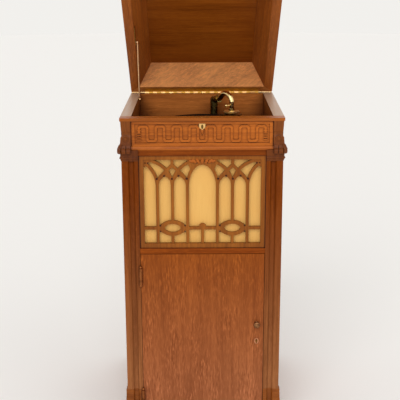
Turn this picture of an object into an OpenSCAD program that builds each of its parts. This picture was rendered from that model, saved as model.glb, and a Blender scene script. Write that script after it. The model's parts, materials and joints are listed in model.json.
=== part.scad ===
// Upright disc gramophone cabinet in oak, with its lid standing open.
// The origin is on the floor under the middle of the case. +X is to the right,
// the front faces -Y and +Z is up. All sizes are in millimetres.

/* [Case] */
// Width of the case over its corner posts
case_w = 485; // [460:1:510]
// Depth of the case from front to back
case_d = 489; // [470:1:510]
// Height of the rim that the lid closes on
rim_z = 990; // [970:1:1010]
// Height at which the plinth's corners begin to stand out
plinth_h = 118; // [105:1:125]
// Height of the plinth's front rail under the door
base_rail_h = 45; // [40:1:60]
// How far the plinth's foot stands out past the case
plinth_flare = 9; // [6:1:12]
// Thickness of the plinth's mitred boards behind the moulding
plinth_t = 20; // [16:1:24]
// Width of a corner post, seen from the front
post_w = 52.5; // [48:0.5:56]
// Depth of a corner post, seen from the side
post_d = 50; // [46:1:54]
// How far the posts' outer faces stand back from the case's width
post_set = 3; // [1:0.5:4]
// Width of the flute that is run down a front post
flute_w = 19; // [14:1:22]
// Depth of that flute
flute_depth = 6; // [3:1:8]
// Distance from a front post's outer edge to its flute
flute_inset = 22; // [18:1:24]
// Thickness of the upper box's side walls
box_wall = 32; // [28:1:34]
// Thickness of the upper box's back wall
box_back_t = 25; // [22:1:30]
// Depth of the rail along the top of the front
rim_rail_d = 36; // [34:1:40]
// Height of that rail
rim_rail_h = 9; // [7:1:12]
// Height of the corner consoles, from the rim down to the posts
console_h = 129; // [124:1:134]
// How far a console's leaf tips stand out past the case
leaf_reach = 10; // [6:1:13]
// Thickness of the side and back panels
panel_t = 8; // [6:1:10]
// How far the side panels lie in from the post faces
panel_set = 8; // [5:1:12]
// Height of the side frames' top rails
side_rail_h = 34; // [32:1:38]
// Thickness of the bottom board and of the horn floor
floor_t = 12; // [10:1:14]

/* [Front] */
// Height from the rim to the foot of the carved frieze
frieze_h = 95; // [92:1:98]
// How far the frieze's field lies behind the front
frieze_set = 7; // [5:1:9]
// Width of the raised border round the frieze's field
frieze_border = 9; // [7:1:10]
// Width of the carved strap
strap_w = 7; // [5:0.5:8]
// Spacing of the strap's upright legs
strap_pitch = 24.8; // [24:0.1:25.4]
// Height that the strap stands out of the field
strap_proud = 2.5; // [1.5:0.5:4]
// Height of the rail between the frieze and the grille
lower_rail_h = 17.5; // [16:0.5:20]
// Thickness of the front's rails
rail_t = 24; // [22:1:26]
// Height of the grille
grille_h = 288.5; // [282:0.5:292]
// Thickness of the grille
grille_t = 12; // [10:1:14]
// Width of the frame round the grille's tracery
stile_w = 15; // [13:1:17]
// Width of a tracery bar
bar_w = 9; // [7:0.5:10]
// Radius of the half-round boss on the transom
boss_r = 11; // [9:0.5:13]
// Spacing of the upright bars
bar_pitch = 45; // [44:0.5:46]
// Height of the rail between the grille and the door
mid_rail_h = 17; // [15:1:22]
// Thickness of the stretched cloth
cloth_t = 2; // [1:0.5:2.5]

/* [Door] */
// Thickness of the door
door_t = 20; // [18:1:22]
// Gap all round the door
door_gap = 1.5; // [1.4:0.1:2.5]
// Height of the knob over the door's foot
knob_z = 295; // [240:1:320]
// Diameter of the knob
knob_d = 21; // [18:1:26]
// Distance from the door's opening edge to the knob and the keyhole
knob_inset = 21; // [19:1:30]
// Distance from the knob down to the keyhole
keyhole_drop = 58; // [50:1:70]
// Radius of the hinge knuckles
knuckle_r = 4.5; // [4:0.25:5]
// Half the width of the shield under the lid's lock
shield_r = 9.3; // [8:0.1:10]
// Height of a door hinge
door_hinge_h = 52; // [48:1:64]

/* [Lid] */
// Height of the lid
lid_h = 100; // [92:1:110]
// Angle at which the lid stands open
lid_open = 46; // [42:0.1:50]
// Gap that the hinge leaves between the closed lid and the rim
lid_gap = 1; // [0.8:0.1:1.5]
// How far the lid's inner faces lean in between rim and ceiling
lid_lean = 41; // [36:1:43]
// Depth of the lid's hollow
lid_depth = 72.5; // [69:0.5:78]
// Thickness of the lid's boards at the rim
lid_wall = 29; // [27:1:33]
// Thickness of the lid's back board at the rim
lid_back_wall = 26.5; // [25:0.5:31]
// Length of the long hinge
lid_hinge_l = 392; // [360:4:400]
// Number of knuckles along the long hinge
lid_knuckles = 28; // [12:2:32]
// Distance from the long hinge's pin forward to the lid stay's foot
stay_foot_in = 117.5; // [112:0.5:122]
// Depth of the stay's foot under the rim
stay_foot_drop = 4; // [3.8:0.2:8]
// Distance from the long hinge's pin to the stay's upper pin while the lid is open
stay_t = 255; // [250:1:262]
// Radius of the stay rod
stay_r = 2.2; // [1.8:0.1:2.4]
// Height of the slide's slot over the lid's foot
slide_h = 6.5; // [6:0.25:8]

/* [Turntable and motor] */
// Drop from the rim to the top of the motor board
board_drop = 88; // [84:1:92]
// Thickness of the motor board
board_t = 18; // [16:1:20]
// Diameter of the turntable
platter_d = 305; // [300:1:306]
// Drop from the rim to the top of the felt
felt_drop = 58; // [56:1:60]
// Thickness of the felt
felt_t = 2; // [1.5:0.5:3]
// Height of the turntable's rim
platter_h = 18; // [16:1:20]
// Radius of the record pin at the spindle's top
spindle_r = 3.6; // [3.5:0.05:3.7]
// Radius of the spindle under the turntable
shaft_r = 4.2; // [4:0.1:4.5]
// Height of the spindle over the felt
spindle_tip = 12; // [10:1:14]
// Offset of the spindle to the right of the middle
spindle_x = 5; // [0:1:8]
// Distance from the front to the spindle
spindle_back = 248; // [246:1:252]
// Teeth on the spring barrel
barrel_teeth = 72; // [72:2:76]
// Teeth on the pinion that the barrel drives
pinion_teeth = 16; // [16:1:18]
// Module of the barrel's teeth
barrel_module = 1.25; // [1.2:0.05:1.25]
// Teeth on the gear that drives the governor
governor_gear_teeth = 56; // [54:2:58]
// Teeth on the governor's pinion
governor_teeth = 14; // [14:1:16]
// Radius of the winding shaft
wind_r = 6; // [5.5:0.25:7]

/* [Horn and tone arm] */
// Distance from the tone arm's pivot to the sound box
arm_reach = 98; // [96:1:100]
// Direction of the arm at rest, from +X
arm_turn = -54.5; // [-58:0.5:-50]
// Offset of the arm's pivot to the right of the middle
arm_x = 41; // [38:1:44]
// Distance from the back to the arm's pivot
arm_inset = 69; // [67:1:73]
// Radius of the arm's upright neck
neck_r = 12; // [11:0.25:13]
// Radius of the bent tube where it leaves the neck's elbow
spout_r = 10.5; // [9.5:0.25:11]
// Radius of the bent tube at the sound box
bend_r = 7.8; // [7:0.1:8.5]
// How steeply the bent tube rises
bend_slope = 45; // [38:1:48]
// Diameter of the sound box
sound_box_d = 68; // [62:1:70]
// Wall of the horn
horn_wall = 3; // [2.5:0.5:4]
// Radius of the horn's throat
throat_r = 18; // [16:0.5:20]

/* [Hidden] */
$fn = 96;

// Running clearance of a shaft in its hole, as a radius
run = 0.05;
// Gap between pieces on different bodies
clear = 0.4;
// What a cut reaches past the surface that it opens
cut = 1;

y_front = -case_d / 2;
y_back = case_d / 2;
bay = case_w / 2 - post_w;
post_x = case_w / 2 - post_set;
box_in = case_w / 2 - box_wall;
z_post_top = rim_z - console_h;
z_frieze = rim_z - frieze_h;
z_grille_top = z_frieze - lower_rail_h;
z_grille_foot = z_grille_top - grille_h;
z_door_top = z_grille_foot - mid_rail_h;
z_board = rim_z - board_drop;
panel_x = case_w / 2 - panel_set;
// How far the side rails lie in from the posts, and the height of the lower ones
side_rail_set = 2;
foot_rail_h = side_rail_h * 1.25;
// Where the posts' flutes end over the floor
flute_foot = base_rail_h * 0.7;

oak = "#a8662f";
dark_oak = "#7a4420";
red_oak = "#96502a";
carved_oak = "#60392a";
brass = "#b9975a";
bronze = "#8a6a3a";
steel = "#8d8f92";
cast_black = "#1c1b19";
cloth_gold = "#ebb66a";

// Points of an arc in the order from a0 to a1
function arc(cx, cy, r, a0, a1, n = 8) =
    [for (i = [0:n]) [cx + r * cos(a0 + (a1 - a0) * i / n), cy + r * sin(a0 + (a1 - a0) * i / n)]];
// Points of the arc from p to q whose middle stands s to the left of the line between them
function bow(p, q, s, n = 8) =
    let (d = q - p, l = norm(d), side = [-d[1], d[0]] / l, r = (l * l / 4 + s * s) / (2 * s),
        c = (p + q) / 2 + side * (s - r), g = sign(s), mid = atan2(g * side[1], g * side[0]),
        half = asin(l / 2 / abs(r)))
    [for (i = [0:n]) let (a = mid + g * half * (1 - 2 * i / n)) c + abs(r) * [cos(a), sin(a)]];
// An outline drawn to the right of the upright axis, with its mirror image
function both(points) = concat(points,
    [for (i = [len(points) - 1:-1:0]) if (points[i][0] > 0) [-points[i][0], points[i][1]]]);
// Points of an ellipse
function oval(rx, ry, n = 28) = [for (i = [0:n - 1]) [rx * cos(360 * i / n), ry * sin(360 * i / n)]];

// A box from its lowest to its highest corner
module block(a, b) {
    translate(a) cube([b[0] - a[0], b[1] - a[1], b[2] - a[2]]);
}

// A drawing of x and z that is given depth from y0 to y1
module from_front(y0, y1) {
    translate([0, y1, 0]) rotate([90, 0, 0]) linear_extrude(y1 - y0) children();
}

// A drawing of y and z that is given width from x0 to x1
module from_side(x0, x1) {
    translate([x0, 0, 0]) rotate([90, 0, 90]) linear_extrude(x1 - x0) children();
}

// The left one of a mirrored pair
module left() {
    mirror([1, 0, 0]) children();
}

// ---------------------------------------------------------------- plinth

// The plinth's outline over a half width
function plinth_outline(half) = concat([[half + plinth_flare, 0]],
    bow([half + plinth_flare, plinth_h * 0.3], [half + 1, plinth_h - 4], plinth_flare * 0.25),
    [[half + 1, plinth_h - 1], [half, plinth_h]]);

// A block whose front and side views are given by outlines, so its mouldings are mitred
module moulded_block(front_outline, side_outline) {
    intersection() {
        from_front(-case_d, case_d) polygon(front_outline);
        from_side(-case_w, case_w) polygon(side_outline);
    }
}

// Mitred boards round the foot, open in front for the door, with the posts' flutes
module plinth() {
    color(dark_oak) difference() {
        moulded_block(both(plinth_outline(case_w / 2)), both(plinth_outline(case_d / 2)));
        block([-case_w / 2 + plinth_t, y_front + plinth_t, -cut],
            [case_w / 2 - plinth_t, y_back - plinth_t, plinth_h + cut]);
        block([-bay, y_front - plinth_flare - cut, base_rail_h],
            [bay, y_front + plinth_t + cut, plinth_h + cut]);
        post_flutes(flute_foot, plinth_h + cut);
        left() post_flutes(flute_foot, plinth_h + cut);
        left() door_hinge_seat(door_hinge_zs()[1]);
    }
}

module bottom_board() {
    color(dark_oak) block([-case_w / 2 + plinth_t, y_front + plinth_t, base_rail_h - floor_t],
        [case_w / 2 - plinth_t, y_back - plinth_t, base_rail_h]);
}

// ---------------------------------------------------------------- posts

// The flute's outline, with bevelled sides, open towards the flared foot
module flute() {
    bevel = flute_depth * 0.6;
    mouth = -plinth_flare - post_set - cut;
    polygon([[0, mouth], [flute_w, mouth], [flute_w, 0], [flute_w - bevel, flute_depth],
        [bevel, flute_depth], [0, 0]]);
}

// The two flutes of a front post, from z0 up to z1
module post_flutes(z0, z1) {
    translate([case_w / 2 - flute_inset - flute_w, y_front, z0]) linear_extrude(z1 - z0) flute();
    translate([post_x, y_front + flute_inset, z0]) rotate(90) linear_extrude(z1 - z0) flute();
}

module front_post() {
    color(dark_oak) difference() {
        block([bay, y_front, plinth_h], [post_x, y_front + post_d, z_post_top]);
        post_flutes(plinth_h - cut, z_post_top + cut);
    }
}

module back_post() {
    color(dark_oak) block([bay, y_back - post_d, plinth_h], [post_x, y_back, z_post_top]);
}

module post_front_right() {
    front_post();
}

// The left post is also let in for the door's hinges
module post_front_left() {
    left() difference() {
        front_post();
        for (z = door_hinge_zs()) door_hinge_seat(z);
    }
}

module post_back_right() {
    back_post();
}

module post_back_left() {
    left() back_post();
}

// ---------------------------------------------------------------- consoles

// How far the console's outer face stands out, from its foot up
function console_outline(half) = concat(
    [[half, 0], [half + 2, 5]],
    arc(half + 2.6, 11, 2.6, -90, 90, 6),
    [[half + 2.2, 15], [half + 3.8, 31], [half + 3.8, 46], [half + 2, 58]],
    arc(half + 13, 82, 16.3, 222, 152, 10),
    [[half, 112], [half + 0.5, console_h - rim_rail_h]]);

// A leaf that curls out at the console's widest place
module leaf(w) {
    translate([0, w / 2, 0]) rotate([90, 0, 0]) linear_extrude(w)
        polygon(concat([[-4, -16], [2, -14]], arc(leaf_reach - 13, -6, 13, -35, 20, 6),
            [[leaf_reach, 2.5], [leaf_reach - 3, 3.5], [3, 12], [-4, 16]]));
}

module console_right() {
    leaf_z = z_post_top + 37;
    rose_x = (post_x + box_in) / 2;
    rose_z = z_post_top + 68;
    color(carved_oak) {
        difference() {
            intersection() {
                from_front(y_front - 20, y_front + post_d) translate([0, z_post_top])
                    polygon(concat([[bay, 0]], console_outline(post_x),
                        [[box_in, console_h - rim_rail_h], [box_in, console_h - frieze_h],
                        [bay, console_h - frieze_h]]));
                from_side(0, case_w) translate([0, z_post_top])
                    polygon([for (p = concat([[0, 0]], console_outline(post_d),
                        [[0, console_h - rim_rail_h]])) [y_front + post_d - p[0], p[1]]]);
            }
            // room for the motor board behind the console's inner edge
            block([bay - cut, y_front + rim_rail_d, z_post_top - cut],
                [box_in, y_front + post_d + cut, z_post_top + console_h]);
        }
        translate([post_x, y_front, leaf_z]) rotate(-45) leaf(13);
        for (y = [12, 34]) translate([post_x + 1, y_front + y, leaf_z]) leaf(14);
        for (x = [8, 22]) translate([post_x - x, y_front - 1, leaf_z]) rotate(-90) leaf(12);
        for (step = [[9, 4], [4.5, 6]])
            translate([rose_x, y_front + 1, rose_z]) rotate([90, 0, 0])
                cylinder(r = step[0], h = step[1], $fn = 48);
    }
}

module console_left() {
    left() console_right();
}

// ---------------------------------------------------------------- sides and back

module side_panel_right() {
    color(oak) block([panel_x - panel_t, y_front + post_d, plinth_h + foot_rail_h],
        [panel_x, y_back - post_d, z_post_top - side_rail_h]);
}

module side_panel_left() {
    left() side_panel_right();
}

// Top and bottom rails of one side's frame
module side_rail_pair() {
    inner = panel_x - panel_t - 4;
    outer = post_x - side_rail_set;
    y0 = y_front + post_d;
    y1 = y_back - post_d;
    block([inner, y0, z_post_top - side_rail_h], [outer, y1, z_post_top]);
    block([inner, y0, plinth_h], [outer, y1, plinth_h + foot_rail_h]);
}

module side_rails() {
    color(dark_oak) {
        difference() {
            side_rail_pair();
            translate([0, wind_y, wind_z]) rotate([0, 90, 0])
                cylinder(r = wind_r + 2, h = case_w);
        }
        left() side_rail_pair();
    }
}

// The upper box's side wall, with a sunk field and a sloped foot as on the front
module box_side_right() {
    y0 = y_front + post_d;
    field_top = rim_z - rim_rail_h - 6;
    sunk_x = case_w / 2 - frieze_set / 2;
    color(oak) difference() {
        from_side(box_in, case_w / 2) polygon([[y0, z_post_top], [y_back, z_post_top],
            [y_back, rim_z], [y_front + rim_rail_d, rim_z],
            [y_front + rim_rail_d, rim_z - rim_rail_h], [y0, rim_z - rim_rail_h]]);
        from_front(y0 + frieze_border, y_back - post_d) polygon([[case_w / 2 + cut, field_top],
            [sunk_x, field_top], [sunk_x, z_frieze + 13], [case_w / 2, z_frieze],
            [case_w / 2 + cut, z_frieze]]);
    }
}

module box_side_left() {
    left() box_side_right();
}

module box_back() {
    color(oak) difference() {
        block([-box_in, y_back - box_back_t, z_post_top], [box_in, y_back, rim_z]);
        lid_leaf_seat();
    }
}

module back_panel() {
    color(dark_oak) block([-bay, y_back - 2 * panel_t, plinth_h], [bay, y_back - panel_t, z_post_top]);
}

// ---------------------------------------------------------------- front

module rim_rail() {
    color(red_oak) difference() {
        block([-case_w / 2, y_front, rim_z - rim_rail_h], [case_w / 2, y_front + rim_rail_d, rim_z]);
        block([-lock_w / 2, lock_y - lock_t / 2, rim_z - rim_rail_h - cut],
            [lock_w / 2, lock_y + lock_t / 2, rim_z + cut]);
    }
}

// Width, thickness, depth and place of the lid's lock
lock_w = 44;
lock_t = 12;
lock_h = 52;
lock_y = y_front + frieze_set + 11;
box_key_z = rim_z - 24;

// The strap between two legs, joined at the top or at the foot with cut corners
module strap_loop(x0, x1, foot, head, joined_at_top) {
    a = strap_w / 2;
    ch = strap_w * 0.8;
    m = joined_at_top ? 1 : -1;
    e = joined_at_top ? head : foot;
    s = (foot + head) / 2;
    polygon([[x0 - a, s], [x0 - a, e - m * ch], [x0 - a + ch, e], [x1 + a - ch, e],
        [x1 + a, e - m * ch], [x1 + a, s], [x1 - a, s], [x1 - a, e - m * (strap_w + ch * 0.4)],
        [x1 - a - ch * 0.4, e - m * strap_w], [x0 + a + ch * 0.4, e - m * strap_w],
        [x0 + a, e - m * (strap_w + ch * 0.4)], [x0 + a, s]]);
}

module frieze() {
    field_w = box_in - frieze_border - 3;
    field_top = rim_z - rim_rail_h - frieze_border;
    field_foot = z_frieze + 13 + frieze_border - 2;
    legs = floor((field_w - strap_pitch / 2) / strap_pitch);
    color(red_oak) difference() {
        union() {
            // the board, its sunk face and the sloped moulding at its foot
            from_side(-box_in, box_in) polygon(concat(
                [[y_front + rim_rail_d, z_frieze], [y_front, z_frieze], [y_front, z_frieze + 2]],
                arc(y_front + frieze_set + 6, z_frieze + 2, 12, 180, 120, 6),
                [[y_front + frieze_set, z_frieze + 13], [y_front + frieze_set, rim_z - rim_rail_h],
                [y_front + rim_rail_d, rim_z - rim_rail_h]]));
            // raised border
            from_front(y_front + frieze_set - strap_proud, y_front + frieze_set + cut) difference() {
                translate([-box_in + 3, field_foot - frieze_border])
                    square([2 * box_in - 6, field_top + frieze_border - field_foot + frieze_border - 1]);
                translate([-field_w, field_foot]) square([2 * field_w, field_top - field_foot]);
            }
            // carved strap, mirrored about the middle
            from_front(y_front + frieze_set - strap_proud, y_front + frieze_set + cut) {
                foot = field_foot + 3;
                head = field_top - 4;
                strap_loop(-strap_pitch / 2, strap_pitch / 2, foot, head, false);
                for (side = [-1, 1], i = [0:legs - 1]) {
                    near = side * (strap_pitch / 2 + i * strap_pitch);
                    far = near + side * strap_pitch;
                    strap_loop(min(near, far), max(near, far), foot, head, i % 2 == 0);
                }
                // short ribs on the last leg
                for (side = [-1, 1], k = [0:4])
                    translate([side * (strap_pitch / 2 + legs * strap_pitch) - strap_w * 0.9,
                        foot + 5 + k * 7]) square([strap_w * 1.8, 3]);
                // pad behind the lock's shield, and the drop under it
                translate([-shield_r, box_key_z - shield_r]) square([2 * shield_r, shield_r + 8]);
                polygon([[-5, box_key_z - 10], [0, box_key_z - 26], [5, box_key_z - 10]]);
            }
        }
        block([-lock_w / 2, lock_y - lock_t / 2, rim_z - lock_h],
            [lock_w / 2, lock_y + lock_t / 2, rim_z + cut]);
        keyhole(0, box_key_z, y_front - cut, lock_y);
    }
}

// A round-headed keyhole, cut from y0 to y1
module keyhole(x, z, y0, y1) {
    from_front(y0, y1) translate([x, z]) {
        circle(r = 2.6, $fn = 12);
        translate([-1.3, -7]) square([2.6, 7]);
    }
}

// The rail under the frieze and the one between the grille and the door
module front_rails() {
    color(red_oak) {
        block([-bay, y_front + 1, z_grille_top], [bay, y_front + rail_t, z_frieze]);
        block([-bay, y_front + 1, z_door_top], [bay, y_front + rail_t, z_grille_foot]);
    }
}

// ---------------------------------------------------------------- grille

// Heights over the grille's foot that the tracery is drawn from
transom_z = 63;
spring_z = 193;
head_z = grille_h - stile_w * 0.85;
foot_z = stile_w;

// One branch of a bar: an arc that leaves the bar upright and leans out
module branch(r, lean, run_out) {
    inner = r - bar_w / 2;
    outer = r + bar_w / 2;
    end = [r - r * cos(lean), r * sin(lean)];
    translate([r, 0]) intersection() {
        difference() {
            circle(r = outer);
            circle(r = inner);
        }
        polygon([[0, 0], [-2 * outer, 0], [-2 * outer * cos(lean), 2 * outer * sin(lean)]]);
    }
    if (run_out > 0) translate(end) rotate(90 - lean) translate([-0.5, -bar_w / 2])
        square([run_out + 0.5, bar_w]);
}

// An upright bar with its two branches, the inner one given as r, lean and run
module bar_tree(x, inward, outward, side) {
    translate([side * x - bar_w / 2, foot_z - cut]) square([bar_w, spring_z - foot_z + 2 * cut]);
    translate([side * x, spring_z]) {
        mirror([side > 0 ? 1 : 0, 0]) branch(inward[0], inward[1], inward[2]);
        mirror([side > 0 ? 0 : 1, 0]) branch(outward[0], outward[1], outward[2]);
    }
}

// Pointed oval with an opening in it
module eye() {
    half_l = bar_pitch;
    half_h = 24;
    r = (half_l * half_l + half_h * half_h) / (2 * half_h);
    intersection() {
        translate([0, half_h - r]) circle(r = r);
        translate([0, r - half_h]) circle(r = r);
    }
}

module tracery() {
    w = bay - stile_w;
    for (side = [-1, 1]) {
        bar_tree(bar_pitch * 3, [50, 45, 46], [90, 62, 8], side);
        bar_tree(bar_pitch, [104, 38, 4], [50, 45, 46], side);
        bar_tree(bar_pitch * 2, [80, 66, 26], [80, 66, 26], side);
        // stub over the crossing, and the solid lens under it
        translate([side * 2 * bar_pitch - bar_w / 2, head_z - 14]) square([bar_w, 14 + cut]);
        translate([side * 2 * bar_pitch, head_z]) polygon([[-11, -25], [11, -25], [0, -10]]);
        // corner piece
        translate([side * w, head_z]) mirror([side > 0 ? 1 : 0, 0])
            polygon([[-cut, cut], [26, cut], [14, -12], [5, -22], [-cut, -22]]);
        // the eye on the transom, and the stub under it
        translate([side * 2 * bar_pitch, transom_z]) eye();
        translate([side * 2 * bar_pitch - bar_w / 2, foot_z - cut])
            square([bar_w, transom_z - 22 - foot_z + cut]);
    }
    // middle arch with its solid head
    translate([0, spring_z]) difference() {
        translate([-bar_pitch, 44]) square([2 * bar_pitch, head_z - spring_z - 44 + cut]);
        polygon(oval(bar_pitch - bar_w * 0.5, 67));
        for (side = [-1, 1]) translate([side * bar_pitch, 44])
            polygon([[side * cut, -cut], [side * cut, 40], [-side * 3, 24], [-side * 14, -cut]]);
    }
    // transom, the half-round boss on it and the stub under the boss
    translate([-w - cut, transom_z - bar_w / 2]) square([2 * w + 2 * cut, bar_w]);
    translate([0, transom_z]) intersection() {
        translate([0, boss_r * 0.3]) circle(r = boss_r);
        translate([-2 * boss_r, 0]) square([4 * boss_r, 2 * boss_r]);
    }
    translate([-bar_w / 2, foot_z - cut]) square([bar_w, transom_z - foot_z]);
}

module grille() {
    y0 = y_front + 4;
    w = bay - stile_w;
    color(dark_oak) translate([0, 0, z_grille_foot]) difference() {
        union() {
            from_front(y0, y0 + grille_t) difference() {
                translate([-bay, 0]) square([2 * bay, grille_h]);
                translate([-w, foot_z]) square([2 * w, head_z - foot_z]);
            }
            from_front(y0 + 2, y0 + grille_t - 1) intersection() {
                translate([-w - cut, foot_z - cut]) square([2 * w + 2 * cut, head_z - foot_z + 2 * cut]);
                tracery();
            }
        }
        for (side = [-1, 1]) translate([side * 2 * bar_pitch, 0, transom_z])
            from_front(y0 - cut, y0 + grille_t + cut) polygon(oval(24, 13.5));
        // drilled dots where branches part and cross
        from_front(y0 - cut, y0 + 6) for (side = [-1, 1]) {
            for (k = [1, 2, 3]) translate([side * bar_pitch * k, spring_z + 24])
                circle(r = 2.6, $fn = 8);
            for (k = [1.6, 2.4]) translate([side * bar_pitch * k, spring_z + 33])
                circle(r = 2.4, $fn = 8);
            translate([side * 27, head_z - 9]) circle(r = 2.4, $fn = 8);
            translate([side * (w - 5), head_z - 10]) circle(r = 2.4, $fn = 8);
        }
    }
}

module grille_cloth() {
    y0 = y_front + 4 + grille_t + 0.3;
    color(cloth_gold) block([-bay + 6, y0, z_grille_foot + 6], [bay - 6, y0 + cloth_t, z_grille_top - 6]);
}

// ---------------------------------------------------------------- motor's places

spindle_y = y_front + spindle_back;
// Direction from the spindle to the spring barrel
train_turn = -45;
barrel_span = (barrel_teeth + pinion_teeth) * barrel_module / 2;
governor_span = (governor_gear_teeth + governor_teeth) / 2;
barrel_p = [spindle_x + barrel_span * cos(train_turn), spindle_y + barrel_span * sin(train_turn)];
governor_p = [spindle_x - governor_span * cos(train_turn), spindle_y - governor_span * sin(train_turn)];
barrel_h = 34;
bevel_r = 10;
wind_y = barrel_p[1];
wind_z = z_post_top - side_rail_h / 2;
z_barrel = wind_z - bevel_r - 3 - barrel_h;
plate_t = 3;
motor_top = z_board - board_t - 14;
motor_foot = z_barrel - plate_t - 8;

// ---------------------------------------------------------------- horn

// The horn from its throat to its mouth. Each row holds the place of a section's
// middle, its half width, its half height, how square it is (0 round, 1 square) and
// how far it has turned from lying flat (0) to standing upright (90).
mouth_y = y_front + 4 + grille_t + 0.3 + cloth_t + 0.3;
mouth_t = 12;
mouth_w = bay - stile_w - 4;
mouth_h = (head_z - foot_z) / 2 - 4;
mouth_z = z_grille_foot + (head_z + foot_z) / 2;
arm_y = y_back - arm_inset;
z_throat = z_board - board_t;

// Height of a section's middle where the horn passes under the motor
function under_motor(extra, drop) = motor_foot - 10 - throat_r - extra - drop;

horn_path = [
    [arm_x, arm_y, z_throat, throat_r, throat_r, 0, 0],
    [arm_x, arm_y, z_throat - 60, throat_r + 4, throat_r + 4, 0, 0],
    [arm_x, arm_y - 1, z_throat - 120, throat_r + 12, throat_r + 11, 0.05, 6],
    [arm_x * 0.9, arm_y - 12, z_throat - 164, throat_r + 24, throat_r + 20, 0.1, 32],
    [arm_x * 0.75, arm_y - 42, z_throat - 186, throat_r + 40, throat_r + 28, 0.2, 62],
    [arm_x * 0.5, arm_y - 86, under_motor(30, 18), throat_r + 62, throat_r + 30, 0.35, 84],
    [arm_x * 0.3, arm_y - 140, under_motor(42, 7), throat_r + 84, throat_r + 42, 0.5, 90],
    [arm_x * 0.18, arm_y - 200, under_motor(54, 2), throat_r + 104, throat_r + 54, 0.65, 90],
    [arm_x * 0.08, arm_y - 262, under_motor(64, 0), (throat_r + 110 + mouth_w) / 2,
        throat_r + 64, 0.8, 90],
    [0, mouth_y + 44, mouth_z - 9, mouth_w - 12, mouth_h - 14, 0.9, 90],
    [0, mouth_y, mouth_z, mouth_w, mouth_h, 1, 90]];
horn_sides = 32;

// A section, wider than its row by the wall's thickness
function section(p, wall = 0) = [for (i = [0:horn_sides - 1])
    let (a = 360 * i / horn_sides, q = p[5],
        u = (1 - q) * cos(a) + q * max(-1, min(1, sqrt(2) * cos(a))),
        v = (1 - q) * sin(a) + q * max(-1, min(1, sqrt(2) * sin(a))))
    [p[0] + u * (p[3] + wall), p[1] + v * (p[4] + wall) * cos(p[6]),
        p[2] - v * (p[4] + wall) * sin(p[6])]];

// A skin over sections that lie in a ring, each joined to the next and the last to the first
module ring_skin(sections) {
    m = len(sections);
    n = len(sections[0]);
    polyhedron([for (ring = sections) each ring],
        [for (j = [0:m - 1], i = [0:n - 1], half = [0, 1])
            let (a = j * n + i, b = j * n + (i + 1) % n, c = (j + 1) % m * n + i,
                d = (j + 1) % m * n + (i + 1) % n)
            half == 0 ? [a, b, c] : [b, d, c]]);
}

module horn() {
    last = len(horn_path) - 1;
    board = [0, mouth_y + mouth_t, z_grille_foot + grille_h / 2, bay, grille_h / 2, 1, 90];
    neck_end = [0, mouth_y + mouth_t, mouth_z - 1, mouth_w - 3, mouth_h - 3, 0.97, 90];
    color(dark_oak) ring_skin(concat(
        [for (p = horn_path) section(p)],
        [section([0, mouth_y, board[2], board[3], board[4], 1, 90]), section(board),
            section(neck_end, horn_wall)],
        [for (j = [last - 1:-1:0]) section(horn_path[j], horn_wall)]));
}

// A board that fills the case's plan between its posts
module case_board(y0, z0, z1) {
    block([-bay, y0, z0], [bay, y_back - 2 * panel_t, z1]);
    for (side = [-1, 1])
        block([side > 0 ? bay - cut : -panel_x + panel_t, y_front + post_d, z0],
            [side > 0 ? panel_x - panel_t : -bay + cut, y_back - post_d, z1]);
}

module horn_floor() {
    color(dark_oak) case_board(y_front + rail_t, z_door_top, z_door_top + floor_t);
}

// Upright divisions for the records, with a board over them
module record_dividers() {
    bays = 5;
    t = 7;
    rack_h = 340;
    y0 = y_front + 50;
    y1 = y_back - plinth_t;
    color(dark_oak) {
        for (i = [0:bays]) {
            x = -bay + i * (2 * bay - t) / bays;
            difference() {
                block([x, y0, base_rail_h], [x + t, y1, base_rail_h + rack_h]);
                // finger hollow in the front edge
                translate([x - cut, y0, base_rail_h + rack_h * 0.55]) rotate([0, 90, 0])
                    cylinder(r = 40, h = t + 2 * cut, $fn = 48);
            }
        }
        block([-bay, y0, base_rail_h + rack_h], [bay, y1, base_rail_h + rack_h + t]);
    }
}

// ---------------------------------------------------------------- motor board

hinge_y = y_back + 3;
hinge_z = rim_z + lid_gap / 2;

// Places of the lid stay: its foot's pin on the box, and its upper pin with the lid open
stay_x = -box_in + 4.8;
foot_p = [hinge_y - stay_foot_in, rim_z - stay_foot_drop];
slide_z = rim_z + lid_gap + slide_h;
top_p = [hinge_y - stay_t * cos(lid_open) + (slide_z - hinge_z) * sin(lid_open),
    hinge_z + stay_t * sin(lid_open) + (slide_z - hinge_z) * cos(lid_open)];
stay_l = norm(top_p - foot_p);
// Angle of the rod over the horizontal, with the lid open and shut
stay_a = atan2(top_p[1] - foot_p[1], foot_p[0] - top_p[0]);
stay_shut_a = asin((slide_z - foot_p[1]) / stay_l);
slide_y0 = foot_p[0] - stay_l * cos(stay_shut_a);
slide_y1 = hinge_y - stay_t;
// How far the pin dips in the slot while the lid is half open
half_a = (stay_a + stay_shut_a) / 2;
half_p = foot_p + stay_l * [-cos(half_a), sin(half_a)];
slide_dip = slide_z - hinge_z - (half_p[1] - hinge_z) * cos(lid_open / 2)
    + (hinge_y - half_p[0]) * sin(lid_open / 2);
stay_pin_r = 1.4;
foot_pin_r = 1.8;
stay_eye_t = 3;

module motor_board() {
    color(dark_oak) difference() {
        block([-box_in + clear, y_front + rim_rail_d + clear, z_board - board_t],
            [box_in - clear, y_back - box_back_t - clear, z_board]);
        translate([spindle_x, spindle_y, z_board - board_t - cut]) cylinder(r = 9, h = board_t + 2 * cut);
        translate([arm_x, arm_y, z_board - board_t - cut])
            cylinder(r = throat_r, h = board_t + 2 * cut);
        translate([brake_p[0], brake_p[1], z_board - 12]) cylinder(r = lever_pin_r + run, h = 12 + cut);
        translate([speed_p[0], speed_p[1], z_board - 12]) cylinder(r = lever_pin_r + run, h = 12 + cut);
    }
}

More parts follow.
